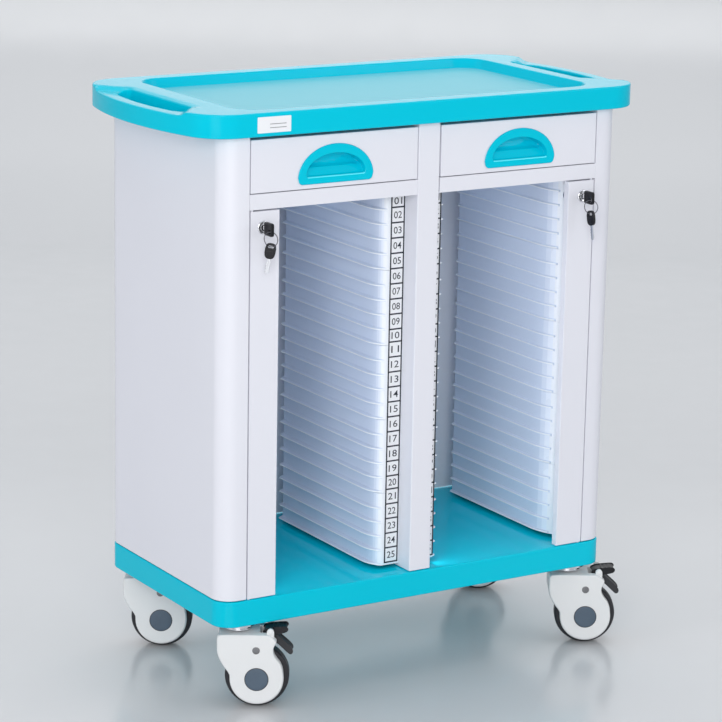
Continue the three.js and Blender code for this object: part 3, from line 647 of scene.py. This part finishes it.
# The faces at each ledge's tip get a lighter copy of the plastic: a painted highlight.
LEDGE_SLOTS = [TIP_PAINTED_HIGHLIGHT_SLOT if 2 <= i <= 4 else CLEAR_SLOT for i in range(len(LEDGE_SECTION))]


def sweep_line(flat_w, reach_u, reach_front, front, rear, start=-90):
    """Section line from the front bend to the rear one."""
    return (
        arc(flat_w, front + reach_front, reach_u, reach_front, start, 0, 14)
        + arc(flat_w, rear - REAR_REACH, reach_u, REAR_REACH, 0, 90, 8)
    )


def slot_panel(word, which):
    """Bent wall in modules, with ledges that follow it."""
    node = f"{word}_column_{which}_slots"
    low, high = box_mm(node)
    profile = PROFILES["outer" if which == "outer" else f"{word}_inner"]
    flat_w, reach, start = profile["flat"], profile["wall_reach"], profile["ledge_from"]
    outward = 1 if (word == "right") == (which == "inner") else -1
    edge = low.x if outward > 0 else high.x
    front, rear = low.y, high.y
    bend = profile["face"] - flat_w
    wall = min(SHEET, bend - 0.5)

    def place(u, y, z):
        return (edge + outward * u, y, z)

    # Points near the column's edge get the lighter copies: painted light.
    def look(point):
        if point <= profile["pale"]:
            return PALE_PAINTED_LIGHT_SLOT
        if point <= profile["soft"]:
            return SOFT_PAINTED_LIGHT_SLOT
        return MID_PAINTED_LIGHT_SLOT if point <= profile["soft"] + MID_POINTS else CLEAR_SLOT

    face = sweep_line(flat_w, bend, reach, front, rear)
    back = sweep_line(flat_w, bend - wall, reach - wall, front, rear)
    inner_line = [(u, min(rear - SHEET, max(front + SHEET, y))) for u, y in back]
    outline = [(0, front), *face, (0, rear), (0, rear - SHEET), *reversed(inner_line),
               (0, front + SHEET)]
    looks = [look(i) for i in range(len(outline))]
    root = sweep_line(flat_w, max(0.4, bend - 0.9), max(0.6, reach - 0.9), front + 0.5,
                      rear - 0.5, start)
    tip = sweep_line(flat_w, profile["tip"] - flat_w, profile["ledge_reach"], front - 0.05,
                     rear, start)
    shape = Shape()
    height = (high.z - low.z) / MODULE["count"]
    for m in range(MODULE["count"]):
        foot = low.z + m * height
        head = foot + height - (MODULE["seam"] if m < MODULE["count"] - 1 else 0)
        rings = [[place(u, y, z) for u, y in outline] for z in (foot, head)]
        shape.loft(rings, side_slots=looks)
        for k in range(MODULE["ledges"]):
            top = foot + MODULE["first"] + k * MODULE["pitch"]
            rings = [
                [place(a + (c - a) * share, b + (d - b) * share, top + rise)
                 for share, rise in LEDGE_SECTION]
                for (a, b), (c, d) in zip(root, tip)
            ]
            shape.loft(rings, side_slots=LEDGE_SLOTS)
    piece(f"{word}_{which}_ribbed_panel", shape, "root", PANEL_LOOKS,
          [node], weighted=False)


# -------- label strips
# The printed strip comes in three lengths; the top cell of the lower two is cut short.
CELLS = {"count": 25, "height": 24.17, "short": {10: 20.3, 20: 21.7}, "line": 2.4,
         "extra": 2.5, "proud": 0.12}
DIGITS = {"width": 14.4, "height": 11.0, "weight": 0.004, "steps": 3}


def number_faces(text):
    """Flat faces of a short number, scaled to the size of DIGITS around the origin."""
    curve = bpy.data.curves.new("number", "FONT")
    curve.body = text
    curve.resolution_u = DIGITS["steps"]
    curve.offset = DIGITS["weight"]
    holder = bpy.data.objects.new("number", curve)
    mesh = holder.to_mesh()
    xs = [v.co.x for v in mesh.vertices]
    ys = [v.co.y for v in mesh.vertices]
    sx = DIGITS["width"] / (max(xs) - min(xs))
    sy = DIGITS["height"] / (max(ys) - min(ys))
    mx, my = (max(xs) + min(xs)) / 2, (max(ys) + min(ys)) / 2
    verts = [((v.co.x - mx) * sx, (v.co.y - my) * sy) for v in mesh.vertices]
    faces = [tuple(p.vertices) for p in mesh.polygons]
    holder.to_mesh_clear()
    bpy.data.objects.remove(holder)
    bpy.data.curves.remove(curve)
    return verts, faces


def label_strip(word):
    """White card with an ink frame, a line between cells, and a number in each."""
    low, high = box_mm(f"{word}_label_strip")
    if word == "left":
        low.x -= CELLS["extra"]
    front = -low.y
    line, ink = CELLS["line"], front + CELLS["proud"]
    shape = Shape()
    shape.plate(rounded_box(low.x, high.x, low.z, high.z, 0.8, 2), [], -high.y, front, 0.1,
                facing_front, steps=1)

    def bar(x0, x1, z0, z1):
        shape.plate(rounded_box(x0, x1, z0, z1, 0.1, 1), [], front - 0.1, ink, 0.03,
                    facing_front, slot=1, steps=1)

    bar(low.x, low.x + line, low.z, high.z)
    bar(high.x - line, high.x, low.z, high.z)
    cx = (low.x + high.x) / 2
    z = low.z
    for number in range(CELLS["count"], 0, -1):
        z = max(z, low.z + line / 2)
        bar(low.x, high.x, z - line / 2, z + line / 2)
        cell = CELLS["short"].get(number, CELLS["height"])
        verts, faces = number_faces(f"{number:02d}")
        middle = min(z + cell / 2, high.z - CELLS["height"] / 2 + 1)
        shape.add([facing_front(cx + x, middle + y, ink) for x, y in verts], faces, 1)
        z += cell
    bar(low.x, high.x, high.z - line, high.z)
    piece(f"{word}_number_strip", shape, "root", [CARD, INK],
          [f"{word}_label_strip"], weighted=False)


# -------- locks and keys
BAR_FACE = 190           # the locking bar's front, as a depth
CAM = {"back": -7, "tip": 24, "half_h": 6, "corner": 5, "thickness": 2, "rear": 2.5}
KEY_BLADE = {"half_h": 3.3, "half_t": 0.9}
LOCK_KEY = {"length": 23, "corner": 3.6, "half_t": 2.5, "overlap": 2}
# Hole near the front of the key's head: distance from that edge, drop, radius.
KEY_HOLE = {"in": 5.5, "drop": 3, "r": 3.4}
KEY_RIBS = {"count": 3, "first": 10.5, "pitch": 3.4, "width": 1.8, "margin": 3.5,
            "middle": 2.4, "half_t": 0.5}


def lock(word, side):
    """Cylinder with a flange on the bar, and the turning plug with its cam behind."""
    low, high = box_mm(f"{word}_lock_barrel")
    x, z = (low.x + high.x) / 2, (low.z + high.z) / 2
    face, rear = -low.y, -high.y

    def place(px, pz, depth):
        return (x + px, -depth, z + pz)

    shape = Shape()
    shape.turned([(5.8, rear), (8.5, rear), (8.5, BAR_FACE), (10.4, BAR_FACE + 0.3),
                  (10.5, BAR_FACE + 1.2), (10.1, face - 0.6), (9.2, face), (8.4, face),
                  (8.0, face - 0.5), (6.4, face - 0.7), (5.8, face - 1.0)], place, 56)
    piece(f"{word}_lock_cylinder", shape, f"{word}_bar", [CHROME],
          [f"{word}_lock_barrel"])

    front = -box_mm(f"{word}_lock_plug")[0].y
    cam_rear = rear - CAM["rear"]
    plug = Shape()
    plug.turned([(0, cam_rear), (5.5, cam_rear), (5.5, front - 0.6), (5.0, front),
                 (1.2, front), (1.2, front - 3), (0, front - 3)], place, 40)
    cam = rounded_box(
        CAM["back"], CAM["tip"], z - CAM["half_h"], z + CAM["half_h"], CAM["corner"], 5)
    cam = [(x - side * u, v) for u, v in cam]
    plug.plate(cam if side < 0 else list(reversed(cam)), [], cam_rear,
               cam_rear + CAM["thickness"], 0.3, facing_front, steps=2)
    piece(f"{word}_plug_and_cam", plug, f"{word}_lock", [CHROME],
          [f"{word}_lock_plug"])


def lock_key(word):
    """Key in the lock: a black head on edge, with ribs and a hole, and a plain blade."""
    low, high = box_mm(f"{word}_lock_key")
    x, z = (low.x + high.x) / 2, (low.z + high.z) / 2
    front, rear = low.y, low.y + LOCK_KEY["length"]

    def place(y, up, thick):
        return (x + thick, y, up)

    shape = Shape()
    outline = rounded_box(front, rear, low.z, high.z, LOCK_KEY["corner"], 5)
    radius = KEY_HOLE["r"]
    hole = arc(front + KEY_HOLE["in"], z - KEY_HOLE["drop"], radius, radius, 0, 345, 23)
    shape.plate(outline, [hole], -LOCK_KEY["half_t"], LOCK_KEY["half_t"], 1.0, place)
    for sign in (-1, 1):
        for k in range(KEY_RIBS["count"]):
            start = front + KEY_RIBS["first"] + KEY_RIBS["pitch"] * k
            rib = rounded_box(start, start + KEY_RIBS["width"], low.z + KEY_RIBS["margin"],
                              high.z - KEY_RIBS["margin"], 0.8, 3)
            middle = sign * KEY_RIBS["middle"]
            shape.plate(rib, [], middle - KEY_RIBS["half_t"], middle + KEY_RIBS["half_t"], 0.3,
                        place, steps=2)
    half_h, half_t = KEY_BLADE["half_h"], KEY_BLADE["half_t"]
    blade = rounded_box(rear - LOCK_KEY["overlap"], high.y, z - half_h, z + half_h, 0.6, 2)
    shape.plate(blade, [], -half_t, half_t, 0.25, place, slot=1, steps=1)
    piece(f"{word}_key_in_lock", shape, f"{word}_lock", [BLACK, CHROME],
          [f"{word}_lock_key"])


RING_YAW = math.radians(35)
RING = {"wire": 0.6, "r": 11.2, "drop": 2.2, "turns": 1.85, "start": 60, "pitch": 1.2,
        "steps": 96}
# How each spare key leans on its ring and is turned about the vertical, in degrees.
SPARE_HANG = {"left": {"lean": -9, "turn": 20}, "right": {"lean": 9, "turn": -28}}
SPARE_DROP = 4.8
SPARE_PIVOT = 6          # below the top of the key's head
SPARE_HEAD = {"foot": 24, "half_t": 2.3, "blade": 22}
SPARE_TEETH = {"count": 4, "first": 3, "half_pitch": 2.2, "depth": 1.4}


def ring_axes(yaw):
    """Level directions along a ring's axis, or a key's thickness, and across it."""
    along = Vector((math.cos(yaw), math.sin(yaw), 0))
    return along, Vector((-along.y, along.x, 0))


def key_ring(word):
    """Split ring: the wire runs almost twice around, hanging from the key's hole."""
    low, high = box_mm(f"{word}_key_ring")
    centre = (low + high) / 2 - Vector((0, 0, RING["drop"]))
    along, across = ring_axes(RING_YAW)
    points = []
    for i in range(RING["steps"] + 1):
        share = i / RING["steps"]
        a = math.radians(RING["start"]) + 2 * math.pi * RING["turns"] * share
        points.append(
            centre + RING["r"] * (math.cos(a) * across + math.sin(a) * Vector((0, 0, 1)))
            + (share - 0.5) * RING["pitch"] * along)
    shape = Shape()
    shape.tube(points, RING["wire"])
    piece(f"{word}_split_ring", shape, f"{word}_ring", [WIRE],
          [f"{word}_key_ring"], sharp=60, weighted=False)


def spare_key(word):
    """Key hanging on the ring: a black head with a slot, and a toothed blade."""
    low, high = box_mm(f"{word}_spare_key")
    centre, top = (low + high) / 2, high.z
    along, across = ring_axes(RING_YAW + math.radians(SPARE_HANG[word]["turn"]))
    lean, pivot = math.radians(SPARE_HANG[word]["lean"]), top - SPARE_PIVOT

    def place(u, up, thick):
        rise = up - pivot
        spot = centre + (u * math.cos(lean) + rise * math.sin(lean)) * across + thick * along
        height = pivot - SPARE_DROP + rise * math.cos(lean) - u * math.sin(lean)
        return (spot.x, spot.y, height)

    shape = Shape()
    foot, half_t = top - SPARE_HEAD["foot"], SPARE_HEAD["half_t"]
    outline = softened([(-4.5, foot), (4.5, foot), (8.2, top - 18.5), (8.2, top - 4.5),
                        (4.5, top), (-4.5, top), (-8.2, top - 4.5), (-8.2, top - 18.5)], 1)
    hole = rounded_box(-4.6, 4.6, top - 7.6, top - 3.6, 1.9, 4)
    shape.plate(outline, [hole], -half_t, half_t, 0.9, place)
    grip = rounded_box(-4.5, 4.5, top - 21, top - 12, 2, 4)
    for middle in (-2.2, 2.2):
        shape.plate(grip, [], middle - 0.5, middle + 0.5, 0.35, place, steps=2)
    half, half_t = KEY_BLADE["half_h"], KEY_BLADE["half_t"]
    first, tooth = low.z + SPARE_TEETH["first"], SPARE_TEETH["half_pitch"]
    head = top - SPARE_HEAD["blade"]
    blade = [(-half, head), (-half, first), (-1, low.z), (1.2, low.z)]
    for k in range(SPARE_TEETH["count"]):
        z = first + k * 2 * tooth
        blade += [(half, z), (half - SPARE_TEETH["depth"], z + tooth)]
    blade.append((half, head))
    shape.plate(blade, [], -half_t, half_t, 0.2, place, slot=1, steps=1)
    piece(f"{word}_hanging_key", shape, f"{word}_spare", [BLACK, ZINC],
          [f"{word}_spare_key"], sharp=40)


# -------- casters
JOINTS = {joint["name"]: joint for joint in frame["joints"]}
CASTERS = [f"{end}_{word}_caster" for end in ENDS for word, _ in SIDES]
SWIVELS = {
    name: tuple(v / MM for v in JOINTS[f"{name}_swivel"]["pos_m"][:2]) for name in CASTERS
}
WHEEL_Z = 50
CHEEK_OUTLINE = [
    (41.6, 56), (40.5, 66), (37, 75), (30.5, 83), (26.4, 90), (25.4, 99), (28.5, 106),
    (31, 111), (27.5, 114.5), (24, 118), (18, 121.6), (0, 122), (-56, 122), (-62, 119),
    (-62, 104), (-62, 91), (-57.5, 79), (-50.5, 67.5), (-45.2, 61), (-42.2, 55),
]
CHEEK_DISC = 42          # radius of the cheek around the axle
CHEEK_CENTRE = Vector((-6, 108))
# Each cheek: (distance from the middle plane, share of the full outline).
CHEEK_STEPS = ((17, 0.99), (17.6, 1), (24, 1), (27, 0.996), (29.4, 0.984), (30.5, 0.971),
               (30.9, 0.96), (31, 0.945))
CHEEK_RIVET = {"x": -1, "z": 97}
CHEEK_RIVET_HEAD = [(0, 30.6), (5.9, 30.6), (5.9, 31.3), (5.2, 31.7), (2.4, 31.8), (0, 31.8)]
# Ear on the front casters that carries the brake pedal's pin.
EAR = {"x": 20.7, "z": 124, "r": 5.7, "from": 19, "to": 25}
EAR_PIN = [(0, 24.5), (3.2, 24.5), (3.2, 25.6), (2.4, 26), (0, 26)]
BRIDGE = [(-60, 100), (-52, 103), (-38, 107.5), (-20, 110), (6, 110), (6, 120.5),
          (2, 121.7), (-57, 121.7), (-60, 118)]
BRIDGE_HALF = 17.4
# Turned sections, as (radius, distance along the axle).
AXLE_CAP = [(0, 29), (17.4, 29), (17.6, 31.6), (17.0, 32), (13, 32.2), (0, 32.3)]
AXLE_RING = [(17.6, 29), (18.7, 29), (18.7, 31.25), (17.6, 31.25)]
AXLE = [(0, -29.5), (5, -29.5), (5, 29.5), (0, 29.5)]
TYRE_SECTION = (
    [(38, -12), (41, -13.6)]
    + arc(43.5, -7.5, 6.5, 6.5, -80, -5, 6)
    + arc(43.5, 7.5, 6.5, 6.5, 5, 80, 6)
    + [(41, 13.6), (38, 12)]
)
HUB_SECTION = [(5.4, -14), (13, -14), (14, -13), (16.5, -8.5), (35, -10), (36.5, -11.6),
               (37.6, -11.6), (37.6, 11.6), (36.5, 11.6), (35, 10), (16.5, 8.5), (14, 13),
               (13, 14), (5.4, 14)]


def caster_place(name):
    """Maps the caster's own frame to the trolley's, and gives the length of its trail."""
    sx, sy = SWIVELS[name]
    hub = JOINTS[f"{name}_roll"]["pos_m"]
    along = Vector((hub[0] / MM - sx, hub[1] / MM - sy))
    trail = along.length
    along.normalize()

    def place(x, y, z):
        """x from the wheel's centre along the trail, y across it, z up."""
        return (sx + along.x * (x + trail) - along.y * y,
                sy + along.y * (x + trail) + along.x * y, z)

    return place, trail


def caster_fork(name):
    """Two thick cheeks with rivets, joined by a bridge."""
    place, _ = caster_place(name)

    def upright(a, b, h):
        return place(a, h, b)

    def turned_at(spot, sign):
        return lambda a, b, h: place(spot["x"] + a, sign * h, spot["z"] + b)

    shape = Shape()
    disc = arc(0, WHEEL_Z, CHEEK_DISC, CHEEK_DISC, 178, 368, 40)
    outline = disc + softened(CHEEK_OUTLINE, 2, closed=False)
    for sign in (-1, 1):
        rings = []
        for depth, share in CHEEK_STEPS:
            ring = [CHEEK_CENTRE + (Vector(p) - CHEEK_CENTRE) * share for p in outline]
            rings.append([place(p.x, sign * depth, p.y) for p in ring])
        shape.loft(rings)
        shape.turned(CHEEK_RIVET_HEAD, turned_at(CHEEK_RIVET, sign), 24, 1)
        if name.startswith("front"):
            ear = arc(EAR["x"], EAR["z"], EAR["r"], EAR["r"], 0, 180, 12)
            ear += [(EAR["x"] - EAR["r"], 112), (EAR["x"] + EAR["r"], 112)]
            near, far = sorted((sign * EAR["from"], sign * EAR["to"]))
            shape.plate(ear, [], near, far, 0.8, upright)
            shape.turned(EAR_PIN, turned_at(EAR, sign), 20)
    shape.plate(BRIDGE, [], -BRIDGE_HALF, BRIDGE_HALF, 0.3, upright, steps=1)
    piece(f"{name}_shroud", shape, f"{name}_swivel", [ABS, RIVET],
          [f"{name}_fork"], sharp=50)


def caster_wheel(name):
    """Axle with its caps, tyre and hub."""
    place, _ = caster_place(name)

    def axis(a, b, h):
        return place(a, h, WHEEL_Z + b)

    caps = Shape()
    for sign in (-1, 1):
        for slot, section in enumerate((AXLE_CAP, AXLE_RING)):
            caps.turned(section, lambda a, b, h, s=sign: axis(a, b, s * h), 56, slot)
    caps.turned(AXLE, axis, 20, 1)
    piece(f"{name}_axle_caps", caps, f"{name}_swivel", [CAP, PEDAL],
          [f"{name}_axle"])
    tyre = Shape()
    tyre.turned(TYRE_SECTION, axis, 96)
    piece(f"{name}_tread", tyre, f"{name}_wheel", [TYRE], [f"{name}_tyre"])
    hub = Shape()
    hub.turned(HUB_SECTION, axis, 64)
    piece(f"{name}_wheel_centre", hub, f"{name}_wheel", [ABS], [f"{name}_hub"])


def caster_race(name):
    """Chrome ball race under its top plate."""
    sx, sy = SWIVELS[name]
    shape = Shape()
    low, high = box_mm(f"{name}_mount")
    profile = [(0, low.z), (13, low.z), (15, low.z + 0.6), (20.5, low.z + 2.2),
               (21.8, low.z + 3.6), (21.8, low.z + 4.6), (20.9, low.z + 5.2),
               (20.9, low.z + 5.9), (21.9, low.z + 6.6), (22, high.z - 4.2),
               (27.6, high.z - 3.8), (28, high.z - 3.2), (28, high.z), (0, high.z)]
    shape.turned(profile, lambda a, b, h: (sx + a, sy + b, h), 56)
    piece(f"{name}_ball_race", shape, "root", [CHROME], [f"{name}_mount"])


# The pedal's outlines, measured from its pin.
PEDAL_PIN = {"x": 51, "z": 117, "half_w": 16.5, "r": 4}
PEDAL_TREAD = [(-11, 3.5), (-10, 7.5), (-4, 9.5), (20, 12.6), (25, 11.5), (25.5, 8), (22, 5),
               (0, 1)]
PEDAL_ARM = [(-3, 2), (3, 3.5), (14, -6), (30, -20), (34, -27), (31, -31.5), (26.5, -28),
             (10, -12), (0, -7)]
PEDAL_RIBS = {"count": 3, "first": 3, "pitch": 6.5, "slope": 0.11, "half_w": 11}
PEDAL_RIB = ((0, 9.5), (2.6, 9.8), (2.3, 11.7), (0.4, 11.4))


def brake_pedal(name):
    """Ribbed tread and a release arm on one pin."""
    place, trail = caster_place(name)
    px, pz = PEDAL_PIN["x"] - trail, PEDAL_PIN["z"]

    def local(a, b, h):
        return place(px + a, h, pz + b)

    shape = Shape()
    shape.plate(softened(PEDAL_TREAD, 2), [], -13.5, 13.5, 1.6, local)
    shape.plate(softened(PEDAL_ARM, 2), [], -11, 11, 1.4, local, slot=1)
    half_w, slope = PEDAL_RIBS["half_w"], PEDAL_RIBS["slope"]
    for k in range(PEDAL_RIBS["count"]):
        start = PEDAL_RIBS["first"] + PEDAL_RIBS["pitch"] * k
        rib = [(start + a, b + start * slope) for a, b in PEDAL_RIB]
        shape.plate(rib, [], -half_w, half_w, 0.3, local, steps=1)
    half_w, r = PEDAL_PIN["half_w"], PEDAL_PIN["r"]
    shape.turned([(0, -half_w), (r, -half_w), (r, half_w), (0, half_w)], local, 24, 1)
    piece(f"{name}_brake_lever", shape, f"{name}_brake", [BLACK, PEDAL],
          [f"{name}_pedal"])


# -------- small fittings
RIVET_ROWS, RIVET_MARGIN, RIVET_IN = 6, 34, 9
BACK_RIVET_HEAD = [(0, -0.3), (3.2, -0.3), (3.2, 0.2), (2.4, 1.0), (0, 1.3)]


def back_rivets():
    """Domed rivet heads down both edges of the back panel."""
    low, high = box_mm("back_panel")
    shape = Shape()
    span = high.z - low.z - 2 * RIVET_MARGIN
    for sign in (-1, 1):
        for k in range(RIVET_ROWS):
            z = low.z + RIVET_MARGIN + span * k / (RIVET_ROWS - 1)
            x = sign * (high.x - RIVET_IN)
            shape.turned(BACK_RIVET_HEAD, lambda a, b, h, x=x, z=z: (x + a, high.y + h, z + b),
                         24)
    piece("back_rivets", shape, "root", [WHITE])


def carried_over():
    """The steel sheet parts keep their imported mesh."""
    # The back panel takes the lighter copy of the white: painted light.
    dress(["back_panel"], BACK_PANEL_PAINTED_LIGHT)
    plain = ["centre_partition"]
    for word, _ in SIDES:
        plain += [f"{word}_{part}" for part in (
            "side_panel", "cross_rail", "drawer_shelf", "drawer_front", "drawer_box",
            "locking_bar")]
    dress(plain, WHITE)
    dress([f"{word}_drawer_runner_{where}" for word, _ in SIDES
           for where in ("inner", "outer")], ZINC, 0.4)


# -------- studio
BACKDROP = {"half": 9.0, "wall": 3.2, "bend": 1.2, "height": 5.0}


def backdrop():
    """Floor that bends up into a wall, square to the camera."""
    half, wall, bend = BACKDROP["half"], BACKDROP["wall"], BACKDROP["bend"]
    rows = [(-half, 0.0)] + [
        (wall + bend * math.sin(a), bend * (1 - math.cos(a)))
        for a in (math.radians(d) for d in range(0, 91, 6))
    ] + [(wall + bend, BACKDROP["height"])]
    mesh = bpy.data.meshes.new("studio_floor")
    verts = [(x, y, z) for y, z in rows for x in (-half, half)]
    faces = [(2 * i, 2 * i + 1, 2 * i + 3, 2 * i + 2) for i in range(len(rows) - 1)]
    mesh.from_pydata(verts, [], faces)
    mesh.shade_smooth()
    mesh.materials.append(surface(
        "studio_floor", (0.62, 0.63, 0.645), 0.2, tint=0.01, patch=1.5, grain=60,
        grain_depth=0.01, rough_spread=0.03))
    floor = bpy.data.objects.new("studio_floor", mesh)
    floor.matrix_world = Matrix.Rotation(math.radians(CAMERA["azimuth"]), 4, "Z")
    bpy.context.scene.collection.objects.link(floor)


def area_light(name, place, aim, size, power, color=(1, 1, 1)):
    """Rectangular lamp at a place, facing the aim."""
    data = bpy.data.lights.new(name, "AREA")
    data.shape = "RECTANGLE"
    data.size, data.size_y = size
    data.energy = power
    data.color = color
    lamp = bpy.data.objects.new(name, data)
    lamp.location = place
    lamp.rotation_mode = "QUATERNION"
    lamp.rotation_quaternion = (Vector(aim) - Vector(place)).to_track_quat("-Z", "Y")
    bpy.context.scene.collection.objects.link(lamp)
    return lamp


WORLD = {"color": (0.93, 0.96, 1.0, 1), "strength": 0.54}
# Name, place, aim, size, power in watts, colour.
LIGHTS = (
    ("key", (-2.5, -3.9, 2.0), (0, 0, 0.45), (3.0, 2.4), 97, (1, 0.99, 0.97)),
    ("fill", (3.2, -3.0, 2.0), (0, 0, 0.5), (2.4, 2.4), 26, (0.97, 0.98, 1)),
    ("window", (-3.6, 0.4, 1.6), (0, 0, 0.5), (2.4, 2.4), 16, (0.96, 0.98, 1)),
    ("low", (-2.9, -2.9, 0.75), (0, 0, 0.4), (1.8, 1.1), 11, (0.97, 0.98, 1)),
    ("top", (0.2, 0.4, 3.6), (0, 0, 0.6), (3.0, 3.0), 26, (1, 1, 1)),
)
# Two small lamps in each column stand in for the light that its clear plastic would pass on.
# The last number is the spread in degrees.
GLOW_COLOR, STRIP_COLOR = (0.74, 0.86, 1), (0.97, 0.98, 1)
COLUMN_LIGHTS = (
    ("left_column_glow", (-0.165, 0.05, 0.775), (-0.165, 0.05, 0), (0.19, 0.18), 0.04,
     GLOW_COLOR, 180),
    ("left_column_strip", (-0.292, -0.172, 0.47), (-0.092, -0.195, 0.47), (0.02, 0.6), 0.11,
     STRIP_COLOR, 120),
    ("right_column_glow", (0.165, 0.05, 0.775), (0.165, 0.05, 0), (0.19, 0.18), 0.04,
     GLOW_COLOR, 180),
    ("right_column_strip", (0.038, -0.172, 0.47), (0.238, -0.195, 0.47), (0.02, 0.6), 0.15,
     STRIP_COLOR, 120),
)


def lighting():
    """Soft studio lights, with a lit wall behind the trolley."""
    world = bpy.data.worlds.new("studio_world")
    bpy.context.scene.world = world
    world.use_nodes = True
    background = world.node_tree.nodes["Background"]
    background.inputs["Color"].default_value = WORLD["color"]
    background.inputs["Strength"].default_value = WORLD["strength"]
    for light in LIGHTS:
        area_light(*light)
    turn = math.radians(CAMERA["azimuth"])
    behind = Vector((-math.sin(turn), math.cos(turn), 0))
    area_light("back_glow", behind * 4.0 + Vector((0, 0, 2.2)), (0, 0, 0.9), (6.5, 2.0), 18)
    area_light("wall_wash", behind * 2.6 + Vector((0, 0, 3.6)), behind * 4.3, (5.0, 0.8), 45)
    for *light, spread in COLUMN_LIGHTS:
        lamp = area_light(*light)
        lamp.data.spread = math.radians(spread)
        lamp.visible_camera = False
    bpy.context.scene.view_settings.view_transform = "Standard"


# Angles in degrees, lengths in metres, lens and sensor in millimetres.
CAMERA = {"azimuth": -31.693, "elevation": 13.796, "roll": 1.059, "distance": 4.6363,
          "target": (0.0005, 0.0, 0.4782), "lens": 142.7, "sensor": 36}


def camera():
    """Looks at the target from its front left, with a slight roll."""
    azimuth, elevation = math.radians(CAMERA["azimuth"]), math.radians(CAMERA["elevation"])
    back = Vector((math.sin(azimuth) * math.cos(elevation),
                   -math.cos(azimuth) * math.cos(elevation), math.sin(elevation)))
    data = bpy.data.cameras.new("camera")
    data.lens, data.sensor_width = CAMERA["lens"], CAMERA["sensor"]
    eye = bpy.data.objects.new("camera", data)
    eye.location = Vector(CAMERA["target"]) + back * CAMERA["distance"]
    eye.rotation_mode = "QUATERNION"
    roll = Quaternion((0, 0, 1), math.radians(CAMERA["roll"]))
    eye.rotation_quaternion = (-back).to_track_quat("-Z", "Y") @ roll
    bpy.context.scene.collection.objects.link(eye)
    bpy.context.scene.camera = eye


# -------- put together
camera()
lighting()
backdrop()
carried_over()
top_tray()
blank_plate()
base_tray()
back_rivets()
for word, side in SIDES:
    drawer_pull(word)
    for which in ("inner", "outer"):
        slot_panel(word, which)
    label_strip(word)
    lock(word, side)
    lock_key(word)
    key_ring(word)
    spare_key(word)
for name in CASTERS:
    caster_race(name)
    caster_fork(name)
    caster_wheel(name)
    if name.startswith("front"):
        brake_pedal(name)
